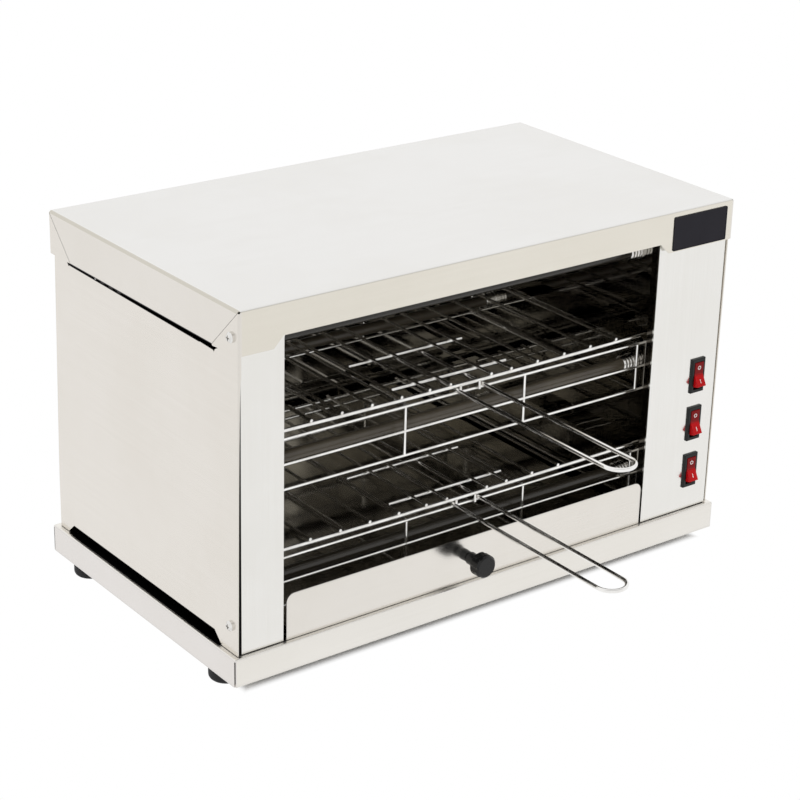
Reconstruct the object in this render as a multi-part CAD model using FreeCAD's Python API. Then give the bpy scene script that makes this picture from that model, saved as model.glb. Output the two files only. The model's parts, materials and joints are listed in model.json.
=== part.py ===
"""Countertop commercial toaster: open-fronted stainless cabinet with two sliding wire racks.

Units are millimetres. The model is drawn in the cabinet's own frame: X to the right from the
cabinet's centre line, Y backwards from the front edge of the base, Z up from the table. Every piece
is moved by the same amount when it is saved, so that the origin lies on the table under the middle
of the whole object, handles included.
"""
import FreeCAD
import Part
import math
import os

from FreeCAD import Vector

os.makedirs("parts", exist_ok=True)

# Sheet thicknesses
COVER_SHEET = 1.0
LINER_SHEET = 0.8
BASE_SHEET = 1.2

# Feet and base tray
FOOT_HEIGHT = 11.0
FOOT_RADIUS = 14.0
FOOT_INSET_X = 15.0
FOOT_INSET_Y = 35.0
BASE_WIDTH = 485.0
BASE_DEPTH = 275.0
BASE_SKIRT = 23.0
BASE_SIDE_FLANGE = 32.0
BASE_END_FLANGE = 14.0
BASE_TOP = FOOT_HEIGHT + BASE_SKIRT

# Outer cover and side panels
COVER_WIDTH = 476.0
COVER_DEPTH = 271.0
COVER_TOP = 305.5
SKIRT_HEIGHT = 33.5
COVER_BEND = 2.4
SEAM = 0.2
CORNER_RELIEF = 0.9
SKIRT_BOTTOM = COVER_TOP - SKIRT_HEIGHT

# The side panels narrow upwards: depths of their front and rear edges at the base and at the skirts
PANEL_FRONT_EDGES = {"left": (3.4, 0.8), "right": (4.6, 3.7)}
PANEL_BACK_FOOT = 270.9
PANEL_BACK_HEAD = 262.6
PANEL_CLEARANCE = 0.5
PANEL_REAR_FLANGE = 16.0

# Front frame and its opening
FRAME_LEFT = -235.0
FRAME_RIGHT = 236.8
FRAME_FRONT = 4.2
OPENING_LEFT = -197.0
OPENING_RIGHT = 162.3
OPENING_TOP = 281.5
OPENING_CORNER = 5.0
FRAME_TOP = COVER_TOP - 2.0
FRAME_SIDE_FLANGE = 22.0
FRAME_LIP = 8.0
FRAME_CLEARANCE = 0.8

# Oven chamber, inner faces
CHAMBER_LEFT = -199.0
CHAMBER_RIGHT = 165.5
CHAMBER_BACK = 256.0
CHAMBER_ROOF = 283.5

# Racks
RACK_CENTRE = -14.3
RACK_LEVEL = 197.4
RACK_BOW = 1.25
DECK_PITCH = 96.3
RACK_FRONT = 20.0
RACK_BACK = 236.0
CROSS_ROD = 1.6
LONG_ROD = 1.25
RACK_HALF_WIDTH = 175.5
LONG_ROD_OFFSETS = (20.0, 40.0, 66.5, 94.0, 121.5, 149.0)
BRACE_DEPTHS = (41.0, 97.0)
BRACE_HALF_WIDTH = 56.0
RUNNER_GAP = 0.3

# Rack handles
HANDLE_CENTRE = -15.5
HANDLE_WIRE = 1.6
HANDLE_HALF_GAP = 12.3
HANDLE_REACH = 165.0
STOP_PIN = 1.2

# Wire guards
GUARD_WIRE = 1.2
GUARD_FRONT = 21.0
GUARD_BACK = 236.0
GUARD_TOP_BAR = 189.8
GUARD_MIDDLE_BAR = 169.5
GUARD_BOTTOM_BAR = 149.4
HOOP_PLACES = {"upper": (-191.5, -75.2, 41.8, 161.1), "lower": (-188.0, -71.5, 45.3, 161.5)}

# Heating tubes
TUBE_RADIUS = 5.0
TUBE_WALL = 1.0
COIL_RADIUS = 3.2
TUBE_FRONT = 33.0
TUBE_BACK = 212.0
TUBE_ROWS = {"top": 266.0, "middle": 169.5, "bottom": 73.2}
CAP_LENGTH = 11.0
CAP_RADIUS = 6.6
CAP_SOCKET = 6.0
PIN_RADIUS = 1.6

# Crumb tray
TRAY_LEFT = -194.2
TRAY_RIGHT = 160.2
TRAY_TOP = 72.3
TRAY_CORNER = 7.0
TRAY_GAP = 0.4
PAN_HEIGHT = 10.0
PAN_BACK = 248.0
KNOB_X = -26.0
KNOB_Z = 58.3

# Rocker switches
SWITCH_X = 215.0
SWITCH_ROWS = {"top": 156.0, "middle": 113.0, "bottom": 70.0}
BEZEL_WIDTH = 14.4
BEZEL_HEIGHT = 30.0
BEZEL_PROUD = 2.0
ROCKER_TILT = 13.0

# Cable gland at the back
GLAND_X = 196.0
GLAND_Z = 62.0
GLAND_BORE = 4.0
GLAND_REACH = 6.0

DEPTH_SHIFT = HANDLE_REACH - (HANDLE_REACH + BASE_DEPTH + GLAND_REACH) / 2

RIGHT = Vector(1, 0, 0)
BACK = Vector(0, 1, 0)
UP = Vector(0, 0, 1)

# The back panel leans forward with the side panels' rear edges
BACK_NORMAL = Vector(0, SKIRT_BOTTOM - BASE_TOP, PANEL_BACK_FOOT - PANEL_BACK_HEAD).normalize()
BACK_RISE = RIGHT.cross(BACK_NORMAL)


def save(name, shape):
    """Move a piece into the part's frame and write it."""
    placed = shape.copy()
    placed.translate(Vector(0, DEPTH_SHIFT, 0))
    placed.exportStep("parts/" + name + ".step")
    print(name, "solids", len(placed.Solids), "volume", round(placed.Volume), "valid", placed.isValid())


def box(x0, x1, y0, y1, z0, z1):
    """Box between two corners."""
    return Part.makeBox(x1 - x0, y1 - y0, z1 - z0, Vector(x0, y0, z0))


def rod(start, end, radius):
    """Round rod between two points."""
    return Part.makeCylinder(radius, (end - start).Length, start, end - start)


def prism(points, direction):
    """Solid made by pushing a flat outline along a direction."""
    return Part.Face(Part.makePolygon(points + [points[0]])).extrude(direction)


def turned(profile, centre, axis):
    """Solid of revolution: the profile is a list of (distance along the axis, radius)."""
    side = RIGHT if abs(axis.dot(RIGHT)) < 0.5 else UP
    points = [centre + axis * along + side * radius for along, radius in profile]
    return Part.Face(Part.makePolygon(points + [points[0]])).revolve(centre, axis, 360)


def joined(shapes):
    """One solid from several that meet or cross."""
    return shapes[0].multiFuse(shapes[1:]).removeSplitter()


def mirrored(shape):
    """The same piece on the other side of the centre line."""
    return shape.mirror(Vector(0, 0, 0), RIGHT)


def bent_path(points, bend):
    """Straight runs through the points, joined by tangent arcs of one bend radius."""
    edges = []
    start = points[0]
    for before, corner, after in zip(points, points[1:], points[2:]):
        into = (corner - before).normalize()
        out = (after - corner).normalize()
        half_turn = into.getAngle(out) / 2
        reach = bend * math.tan(half_turn)
        arc_start = corner - into * reach
        arc_end = corner + out * reach
        arc_middle = corner + (out - into).normalize() * bend * (1 / math.cos(half_turn) - 1)
        if (arc_start - start).Length > 1e-6:
            edges.append(Part.LineSegment(start, arc_start).toShape())
        edges.append(Part.Arc(arc_start, arc_middle, arc_end).toShape())
        start = arc_end
    if (points[-1] - start).Length > 1e-6:
        edges.append(Part.LineSegment(start, points[-1]).toShape())
    return Part.Wire(edges)


def bent_wire(points, radius, bend):
    """Round wire bent along the points."""
    path = bent_path(points, bend)
    section = Part.Wire(Part.makeCircle(radius, points[0], points[1] - points[0]))
    return path.makePipeShell([section], True, False)


def edges_where(shape, test):
    """Edges of a shape whose two ends both pass a test on the point."""
    return [edge for edge in shape.Edges if all(test(vertex.Point) for vertex in edge.Vertexes)]


def folded_box(x0, x1, y0, y1, z0, z1, bend):
    """Box whose upright edges and top edges are bends."""
    block = box(x0, x1, y0, y1, z0, z1)
    edges = [edge for edge in block.Edges if not all(abs(v.Z - z0) < 1e-6 for v in edge.Vertexes)]
    return block.makeFillet(bend, edges)


def cross_head_screw(seat, inward, head_radius, head_height, shank_radius, shank_length):
    """Pan-head screw with a cross recess; the head sits on the seat, the shank goes inward."""
    outward = inward * -1
    dome = head_height * 0.45
    head = turned([(0, 0), (0, head_radius), (dome, head_radius), (head_height, head_radius * 0.55),
                   (head_height, 0)], seat, outward)
    other = (UP if abs(inward.dot(UP)) < 0.5 else RIGHT).cross(inward).normalize()
    across = inward.cross(other)
    screw = joined([head, rod(seat, seat + inward * shank_length, shank_radius)])
    slot_depth = head_height * 0.5
    for first, second in ((across, other), (other, across)):
        corner = seat + outward * (head_height - slot_depth)
        long_half = head_radius * 0.5
        wide_half = head_radius * 0.13
        outline = [corner + first * (a * long_half) + second * (b * wide_half)
                   for a, b in ((-1, -1), (1, -1), (1, 1), (-1, 1))]
        screw = screw.cut(prism(outline, outward * (slot_depth + 1)))
    return screw


# Feet and base tray

def foot_places():
    """Centre of each foot on the table."""
    for side in (-1, 1):
        for depth in (FOOT_INSET_Y, BASE_DEPTH - FOOT_INSET_Y):
            yield Vector(side * (BASE_WIDTH / 2 - FOOT_INSET_X), depth, 0)


FOOT_BORE = 2.2
SCREW_RECESS_RADIUS = 5.6
SCREW_RECESS_DEPTH = 5.0


def rubber_foot(place):
    """Rubber foot: rounded at the bottom, with a recess for its screw."""
    rounding = 3.5
    steps = 5
    arc = []
    for step in range(steps + 1):
        angle = math.radians(90 * step / steps)
        arc.append((rounding * (1 - math.cos(angle)), FOOT_RADIUS - rounding * (1 - math.sin(angle))))
    profile = [(0, SCREW_RECESS_RADIUS)] + arc + [(FOOT_HEIGHT, FOOT_RADIUS), (FOOT_HEIGHT, FOOT_BORE),
               (SCREW_RECESS_DEPTH, FOOT_BORE), (SCREW_RECESS_DEPTH, SCREW_RECESS_RADIUS)]
    return turned(profile, place, UP)


def foot_screw(place):
    """Screw that holds a foot to the base flange."""
    return cross_head_screw(place + UP * SCREW_RECESS_DEPTH, UP, 4.0, 2.6, 2.0, 12.5)


def foot_nut(place):
    """Hexagon nut on top of the base flange."""
    seat = place + UP * (FOOT_HEIGHT + BASE_SHEET)
    flats = 7.0
    corners = [seat + Vector(math.cos(math.radians(60 * k)), math.sin(math.radians(60 * k)), 0)
               * (flats / math.sqrt(3)) for k in range(6)]
    nut = prism(corners, UP * 3.2)
    return nut.cut(rod(seat - UP, seat + UP * 5, 2.02))


def base_tray():
    """Folded pan, open below, with flanges turned in and open corner seams."""
    half = BASE_WIDTH / 2
    outer = folded_box(-half, half, 0, BASE_DEPTH, FOOT_HEIGHT, BASE_TOP, 1.6)
    inner = folded_box(-half + BASE_SHEET, half - BASE_SHEET, BASE_SHEET, BASE_DEPTH - BASE_SHEET,
                       FOOT_HEIGHT + BASE_SHEET, BASE_TOP - BASE_SHEET, 0.6)
    mouth = box(-half + BASE_SIDE_FLANGE, half - BASE_SIDE_FLANGE, BASE_END_FLANGE,
                BASE_DEPTH - BASE_END_FLANGE, FOOT_HEIGHT - 1, FOOT_HEIGHT + BASE_SHEET + 1)
    tray = outer.cut(inner).cut(mouth)
    seam_width = 0.9
    reach = 2.5
    front_slit = box(-half - 1, -half + reach, BASE_SHEET - seam_width, BASE_SHEET, FOOT_HEIGHT - 1, BASE_TOP - 1.6)
    rear_slit = box(-half - 1, -half + reach, BASE_DEPTH - BASE_SHEET - seam_width, BASE_DEPTH - BASE_SHEET,
                    FOOT_HEIGHT - 1, BASE_TOP - 1.6)
    for slit in (front_slit, rear_slit):
        tray = tray.cut(slit).cut(mirrored(slit))
    for place in foot_places():
        tray = tray.cut(rod(place, place + UP * (FOOT_HEIGHT + 3), 2.3))
    return tray


# Outer shell, cut into the cover and the two side panels

def outer_shell():
    """Shell of the whole outer casing, open below, with a round relief at each top corner."""
    half = COVER_WIDTH / 2
    outer = folded_box(-half, half, 0, COVER_DEPTH, BASE_TOP, COVER_TOP, COVER_BEND)
    inner = folded_box(-half + COVER_SHEET, half - COVER_SHEET, COVER_SHEET, COVER_DEPTH - COVER_SHEET,
                       BASE_TOP - 5, COVER_TOP - COVER_SHEET, COVER_BEND - COVER_SHEET)
    shell = outer.cut(inner)
    for depth, outward in ((0, -1), (COVER_DEPTH, 1)):
        corner = Vector(-half, depth, COVER_TOP)
        slant = Vector(-1, outward, 1)
        relief = rod(corner - slant * 3, corner + slant, CORNER_RELIEF)
        shell = shell.cut(relief).cut(mirrored(relief))
    return shell


TAB_EDGE = COVER_WIDTH / 2 - COVER_BEND - 0.3
TAB_BOTTOM = SKIRT_BOTTOM - 1.4
FLANGE_FRONT_CORNER = (35.0, COVER_TOP - 34.7)
FLANGE_BACK_CORNER = (237.5, COVER_TOP - 35.1)


def edge_depth(foot, head, height):
    """Depth of a leaning edge at a height, from its depths at the base and at the skirts."""
    return foot + (head - foot) * (height - BASE_TOP) / (SKIRT_BOTTOM - BASE_TOP)


def back_depth(height):
    """Depth of the leaning plane between the rear flanges and the back panel."""
    return edge_depth(PANEL_BACK_FOOT, PANEL_BACK_HEAD, height)


def side_outline(points, x, push):
    """Prism through a side: points are (depth, height)."""
    return prism([Vector(x, depth, height) for depth, height in points], RIGHT * push)


def flange_zone(shift):
    """The mitred trapezoid that the cover's side flange fills, made smaller by the shift."""
    half = COVER_WIDTH / 2
    points = [(-2 + shift, COVER_TOP + 2), (FLANGE_FRONT_CORNER[0] + shift, FLANGE_FRONT_CORNER[1]),
              (FLANGE_BACK_CORNER[0] - shift, FLANGE_BACK_CORNER[1]), (COVER_DEPTH + 2 - shift, COVER_TOP + 2)]
    return side_outline(points, -half - 1, COVER_BEND + 1.3)


def upper_slot():
    """Long slot under the flange, with a pointed tip and a small nick at each end."""
    front, front_height = FLANGE_FRONT_CORNER
    back, back_height = FLANGE_BACK_CORNER
    points = [(front + 0.4, front_height + 0.4), (front - 1.0, front_height - 0.9), (front - 8.2, front_height - 0.4),
              (front - 4.2, front_height - 2.6), (front - 3.1, front_height - 5.0), (front - 2.0, front_height - 3.9),
              (front + 16.0, front_height - 3.3), (back + 1.0, back_height - 1.1), (back + 3.0, back_height - 2.3),
              (back + 5.4, back_height + 0.3), (back, back_height + 0.4)]
    return side_outline(points, -COVER_WIDTH / 2 - 1, 5)


def lower_slot():
    """Vent slot along the bottom edge of a side panel."""
    below = BASE_TOP - 1
    points = [(23.5, below), (34.3, BASE_TOP + 9.3), (247.7, BASE_TOP + 8.3), (258.0, below)]
    return side_outline(points, -COVER_WIDTH / 2 - 1, 5)


def left_tab_zone():
    """Everything left of the seam where the side panel's corner bend meets the cover's skirts."""
    return box(-COVER_WIDTH / 2 - 1, -TAB_EDGE, -1, COVER_DEPTH + 1, BASE_TOP - 1, COVER_TOP + 1)


def top_cover(shell):
    """Lid with front and back skirts and two mitred side flanges."""
    cover = shell.cut(box(-TAB_EDGE, TAB_EDGE, -1, COVER_DEPTH + 1, BASE_TOP - 10, SKIRT_BOTTOM))
    panel_share = left_tab_zone().cut(flange_zone(SEAM))
    cover = cover.cut(panel_share).cut(mirrored(panel_share))
    below_flange = side_outline([(0, 0), (COVER_DEPTH, 0), (COVER_DEPTH, FLANGE_BACK_CORNER[1]),
                                 (FLANGE_BACK_CORNER[0], FLANGE_BACK_CORNER[1]), FLANGE_FRONT_CORNER,
                                 (0, FLANGE_FRONT_CORNER[1])], -COVER_WIDTH / 2 - 1, 4)
    cover = cover.cut(below_flange).cut(mirrored(below_flange))
    notch = [Vector(-210.0, -1, SKIRT_BOTTOM - 1), Vector(-208.7, -1, SKIRT_BOTTOM),
             Vector(-200.5, -1, OPENING_TOP - 0.9), Vector(159.0, -1, OPENING_TOP - 0.9),
             Vector(168.5, -1, SKIRT_BOTTOM), Vector(169.5, -1, SKIRT_BOTTOM - 1)]
    return cover.cut(prism(notch, BACK * 3))


def side_panel(shell, front_edge):
    """Side panel, drawn on the left, with corner tabs that bend round to the skirts, a rear flange and two slots."""
    half = COVER_WIDTH / 2
    foot, head = front_edge
    panel = shell.common(left_tab_zone()).cut(flange_zone(-SEAM))
    panel = panel.cut(upper_slot()).cut(lower_slot())
    below = BASE_TOP - 2
    before = side_outline([(-2, below), (edge_depth(foot, head, below), below),
                           (head, SKIRT_BOTTOM), (-2, SKIRT_BOTTOM)], -half - 1, 6)
    behind = side_outline([(COVER_DEPTH + 2, below), (back_depth(below), below), (back_depth(TAB_BOTTOM), TAB_BOTTOM),
                           (COVER_DEPTH + 2, TAB_BOTTOM)], -half - 1, 6)
    under = box(-half - 1, -half + 5, -2, COVER_DEPTH + 2, below, BASE_TOP + PANEL_CLEARANCE)
    panel = panel.cut(before).cut(behind).cut(under)
    top = SKIRT_BOTTOM - 6
    flange = side_outline([(back_depth(BASE_TOP) - COVER_SHEET, BASE_TOP), (back_depth(BASE_TOP), BASE_TOP),
                           (back_depth(top), top), (back_depth(top) - COVER_SHEET, top)], -half + COVER_SHEET,
                          PANEL_REAR_FLANGE - COVER_SHEET)
    panel = joined([panel, flange])
    for seat in side_screw_places(-1):
        panel = panel.cut(rod(seat - RIGHT * 4, seat + RIGHT * 4, 1.6))
    for seat in back_screw_places():
        panel = panel.cut(rod(seat - BACK_NORMAL * 5, seat + BACK_NORMAL, 1.6))
    return panel


# Front frame

def front_frame():
    """Left column, control column and top rail from one sheet, with folded edges."""
    sheet = COVER_SHEET
    block = box(FRAME_LEFT, FRAME_RIGHT, FRAME_FRONT, FRAME_FRONT + FRAME_SIDE_FLANGE, BASE_TOP, FRAME_TOP)
    upright = edges_where(block, lambda p: abs(p.y - FRAME_FRONT) < 1e-6)
    upright = [edge for edge in upright if abs(edge.Vertexes[0].X - edge.Vertexes[1].X) < 1e-6]
    block = block.makeFillet(2.0, upright)
    hollow = box(FRAME_LEFT + sheet, FRAME_RIGHT - sheet, FRAME_FRONT + sheet, FRAME_FRONT + FRAME_SIDE_FLANGE + 1,
                 BASE_TOP - 1, FRAME_TOP + 1)
    corner = edges_where(hollow, lambda p: abs(p.y - FRAME_FRONT - sheet) < 1e-6)
    corner = [edge for edge in corner if abs(edge.Vertexes[0].X - edge.Vertexes[1].X) < 1e-6]
    frame = block.cut(hollow.makeFillet(1.0, corner))
    lip_back = FRAME_FRONT + FRAME_LIP
    frame = frame.fuse(box(OPENING_LEFT - sheet, OPENING_LEFT, FRAME_FRONT, lip_back, BASE_TOP, OPENING_TOP))
    frame = frame.fuse(box(OPENING_RIGHT, OPENING_RIGHT + sheet, FRAME_FRONT, lip_back, BASE_TOP, OPENING_TOP))
    frame = frame.cut(opening_block())
    front_back = FRAME_FRONT + 2.0
    frame = frame.cut(box(FRAME_LEFT - 1, FRAME_RIGHT + 1, FRAME_FRONT - 1, front_back, BASE_TOP - 1,
                          BASE_TOP + FRAME_CLEARANCE))
    for height in SWITCH_ROWS.values():
        frame = frame.cut(box(SWITCH_X - 6.4, SWITCH_X + 6.4, 0, 20, height - 14.4, height + 14.4))
    for side in (-1, 1):
        for seat in side_screw_places(side):
            frame = frame.cut(rod(seat - RIGHT * side, seat - RIGHT * side * 6, 1.55))
    return frame.removeSplitter()


def opening_block():
    """The front opening, with rounded top corners."""
    block = box(OPENING_LEFT, OPENING_RIGHT, 0, 60, BASE_TOP - 5, OPENING_TOP)
    corners = edges_where(block, lambda p: abs(p.z - OPENING_TOP) < 1e-6)
    corners = [edge for edge in corners if abs(edge.Vertexes[0].Y - edge.Vertexes[1].Y) > 1]
    return block.makeFillet(OPENING_CORNER, corners)


def side_screw_places(side):
    """Seats of the side screws, on the outer face of a side panel."""
    for depth, height in ((9.5, 284.1), (12.3, 56.5)):
        yield Vector(side * COVER_WIDTH / 2, depth, height)


SCREW_HEAD_RADIUS = 4.1
SCREW_HEAD_HEIGHT = 3.0


def side_screws():
    """Two cross-head screws on each side panel."""
    return [cross_head_screw(seat, RIGHT * -side, SCREW_HEAD_RADIUS, SCREW_HEAD_HEIGHT, 1.5, 7.0)
            for side in (-1, 1) for seat in side_screw_places(side)]


# Back panel

BACK_SCREW_X = 231.0
BACK_SCREW_ROWS = (60.0, 160.0, 250.0)


def back_panel():
    """Flat panel on the rear flanges, with two fields of vent slots and the gland's hole."""
    half = COVER_WIDTH / 2 - 2.0
    bottom = BASE_TOP + PANEL_CLEARANCE
    top = 290.0
    panel = side_outline([(back_depth(bottom), bottom), (back_depth(bottom) + COVER_SHEET, bottom),
                          (back_depth(top) + COVER_SHEET, top), (back_depth(top), top)], -half, 2 * half)
    slot_height = 26.0
    for first, count in ((-218.5, 3), (172.0, 7)):
        for k in range(count):
            x = first + 7.5 * k
            for low in (96.0, 218.0):
                panel = panel.cut(box(x - 1.6, x + 1.6, CHAMBER_BACK, BASE_DEPTH, low, low + slot_height))
    for seat in back_screw_places():
        panel = panel.cut(rod(seat - BACK_NORMAL * 5, seat + BACK_NORMAL * 5, 1.55))
    seat = gland_seat()
    return panel.cut(rod(seat - BACK_NORMAL * 9, seat + BACK_NORMAL * 9, 8.1))


def back_screw_places():
    """Seats of the back screws, on the outer face of the back panel."""
    for side in (-1, 1):
        for height in BACK_SCREW_ROWS:
            yield Vector(side * BACK_SCREW_X, back_depth(height) + COVER_SHEET, height)


def back_screws():
    """Cross-head screws through the back panel into the side panels' rear flanges."""
    return [cross_head_screw(seat, BACK_NORMAL * -1, SCREW_HEAD_RADIUS, SCREW_HEAD_HEIGHT, 1.5, 6.0)
            for seat in back_screw_places()]


def gland_seat():
    """Centre of the cable gland on the outer face of the back panel."""
    return Vector(GLAND_X, back_depth(GLAND_Z) + COVER_SHEET, GLAND_Z)


def back_hexagon(centre, radius, thickness):
    """Hexagonal plate parallel to the back panel."""
    corners = [centre + (BACK_RISE * math.cos(math.radians(60 * k)) + RIGHT * math.sin(math.radians(60 * k))) * radius
               for k in range(6)]
    return prism(corners, BACK_NORMAL * thickness)


def cable_gland():
    """Gland body with a hexagon collar and a bore for the cord, clamped in the back panel."""
    seat = gland_seat()
    rim = 6.5
    reach = (BASE_DEPTH + GLAND_REACH - seat.y - rim * BACK_NORMAL.z) / BACK_NORMAL.y
    print("gland reach", round(reach, 3), "seat", seat, "axis", BACK_NORMAL)
    body = turned([(-12, GLAND_BORE), (-12, 8.0), (0, 8.0), (0, 11.5), (4, 11.5), (5, 9.5), (reach - 2, 8.5),
                   (reach, rim), (reach, GLAND_BORE)], seat, BACK_NORMAL)
    collar = back_hexagon(seat, 12.6, 4)
    return joined([body, collar.cut(rod(seat - BACK_NORMAL, seat + BACK_NORMAL * 9, 8.5))])


def gland_nut():
    """Locknut of the cable gland, inside the back panel."""
    seat = gland_seat() - BACK_NORMAL * COVER_SHEET
    return back_hexagon(seat, 12.0, -4).cut(rod(seat - BACK_NORMAL * 9, seat + BACK_NORMAL * 9, 8.02))


# Oven chamber

def cap_holes(liner, side_face, push):
    """Cut the tube end holes through a side liner."""
    for height in TUBE_ROWS.values():
        for depth in (TUBE_FRONT, TUBE_BACK):
            start = Vector(side_face - push, depth, height)
            liner = liner.cut(rod(start, start + RIGHT * push * 4, 4.2))
    return liner


def left_liner():
    """Left chamber wall."""
    wall = box(CHAMBER_LEFT - LINER_SHEET, CHAMBER_LEFT, FRAME_FRONT + COVER_SHEET, CHAMBER_BACK, BASE_TOP,
               CHAMBER_ROOF)
    return cap_holes(wall, CHAMBER_LEFT, -1)


def right_liner():
    """Right chamber wall, between the oven and the electrical compartment."""
    wall = box(CHAMBER_RIGHT, CHAMBER_RIGHT + LINER_SHEET, FRAME_FRONT + COVER_SHEET, CHAMBER_BACK, BASE_TOP,
               CHAMBER_ROOF)
    return cap_holes(wall, CHAMBER_RIGHT, 1)


def back_liner():
    """Rear chamber wall, with edges folded back to the back panel."""
    left = CHAMBER_LEFT - LINER_SHEET
    right = CHAMBER_RIGHT + LINER_SHEET
    wall = box(left, right, CHAMBER_BACK, CHAMBER_BACK + LINER_SHEET, BASE_TOP, CHAMBER_ROOF)
    lips = [side_outline([(CHAMBER_BACK, BASE_TOP), (back_depth(BASE_TOP), BASE_TOP),
                          (back_depth(CHAMBER_ROOF), CHAMBER_ROOF), (CHAMBER_BACK, CHAMBER_ROOF)], x0, LINER_SHEET)
            for x0 in (left, right - LINER_SHEET)]
    return joined([wall] + lips)


def roof_reflector():
    """Roof of the chamber: polished sheet with edges folded up to the cover."""
    left = CHAMBER_LEFT - LINER_SHEET
    right = CHAMBER_RIGHT + LINER_SHEET
    front = FRAME_FRONT + COVER_SHEET
    back = CHAMBER_BACK + LINER_SHEET
    sheet = box(left, right, front, back, CHAMBER_ROOF, CHAMBER_ROOF + LINER_SHEET)
    lips = [box(x0, x0 + LINER_SHEET, front, back, CHAMBER_ROOF, COVER_TOP - COVER_SHEET)
            for x0 in (left, right - LINER_SHEET)]
    return joined([sheet] + lips)


def rack_runner(side, level):
    """Angle strip on a side liner that a rack's cross rods slide on."""
    top = level - CROSS_ROD - RUNNER_GAP
    wall = CHAMBER_LEFT if side < 0 else CHAMBER_RIGHT
    ledge = 14.0
    thick = 1.2
    inner = wall - side * ledge
    shelf = box(min(wall, inner), max(wall, inner), 26.0, 250.0, top - thick, top)
    hang = wall - side * thick
    leg = box(min(wall, hang), max(wall, hang), 26.0, 250.0, top - 4.6, top)
    return joined([shelf, leg])


# Wire guards

def guard_bars(drop):
    """Horizontal bars of a guard, three in front and three behind."""
    bars = []
    for depth in (GUARD_FRONT, GUARD_BACK):
        for height in (GUARD_TOP_BAR, GUARD_MIDDLE_BAR, GUARD_BOTTOM_BAR):
            bars.append(rod(Vector(CHAMBER_LEFT, depth, height - drop), Vector(CHAMBER_RIGHT, depth, height - drop),
                            GUARD_WIRE))
    return bars


def guard_hoops(deck, drop):
    """Welded hoops of a guard: uprights between its bars, and straight runs from the front to the back."""
    weld = 0.05
    heights = (GUARD_BOTTOM_BAR - drop, GUARD_TOP_BAR - drop)
    shaves = [rod(Vector(CHAMBER_LEFT, depth, height - drop), Vector(CHAMBER_RIGHT, depth, height - drop),
                  GUARD_WIRE - weld)
              for depth in (GUARD_FRONT, GUARD_BACK)
              for height in (GUARD_TOP_BAR, GUARD_MIDDLE_BAR, GUARD_BOTTOM_BAR)]
    hoops = []
    for x in HOOP_PLACES[deck]:
        for depth in (GUARD_FRONT, GUARD_BACK):
            upright = rod(Vector(x, depth, heights[0]), Vector(x, depth, heights[1]), GUARD_WIRE - 0.1)
            for shave in shaves:
                upright = upright.cut(shave)
            hoops += upright.Solids
        for height in heights:
            hoops.append(rod(Vector(x, GUARD_FRONT + GUARD_WIRE - weld, height),
                             Vector(x, GUARD_BACK - GUARD_WIRE + weld, height), GUARD_WIRE))
    return hoops


# Heating tubes

def quartz_tube(depth, height):
    """Quartz tube between its two end caps."""
    start = Vector(CHAMBER_LEFT + CAP_LENGTH - CAP_SOCKET, depth, height)
    end = Vector(CHAMBER_RIGHT - CAP_LENGTH + CAP_SOCKET, depth, height)
    return rod(start, end, TUBE_RADIUS).cut(rod(start - RIGHT, end + RIGHT, TUBE_RADIUS - TUBE_WALL))


def heating_coil(depth, height):
    """Outer form of the resistance coil inside a tube."""
    start = Vector(CHAMBER_LEFT + CAP_LENGTH - CAP_SOCKET, depth, height)
    end = Vector(CHAMBER_RIGHT - CAP_LENGTH + CAP_SOCKET, depth, height)
    return rod(start, end, COIL_RADIUS)


def end_cap(side, depth, height):
    """Ribbed cap over a tube end: flange on the liner, neck through it, terminal pin outside."""
    wall = Vector(CHAMBER_LEFT if side < 0 else CHAMBER_RIGHT, depth, height)
    inward = RIGHT * -side
    ribs = []
    for k in range(3):
        start = 1.6 + 3.1 * k
        ribs += [(start, CAP_RADIUS - 0.7), (start + 0.5, CAP_RADIUS), (start + 2.4, CAP_RADIUS),
                 (start + 2.9, CAP_RADIUS - 0.7)]
    profile = [(-13, 0), (-13, PIN_RADIUS), (-6, PIN_RADIUS), (-6, 4.0), (0, 4.0), (0, 7.4), (1.4, 7.4)]
    profile += ribs + [(CAP_LENGTH, CAP_RADIUS - 1), (CAP_LENGTH, TUBE_RADIUS + 0.05),
                       (CAP_LENGTH - CAP_SOCKET, TUBE_RADIUS + 0.05), (CAP_LENGTH - CAP_SOCKET, 0)]
    return turned(profile, wall, inward)


# Racks

def rack_hang(x, depth):
    """How far a point of a rack hangs below its rear rod: the front rod bows down in the middle."""
    across = (x - RACK_CENTRE) / RACK_HALF_WIDTH
    return RACK_BOW * (1 - across * across) * (RACK_BACK - depth) / (RACK_BACK - RACK_FRONT)


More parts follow.
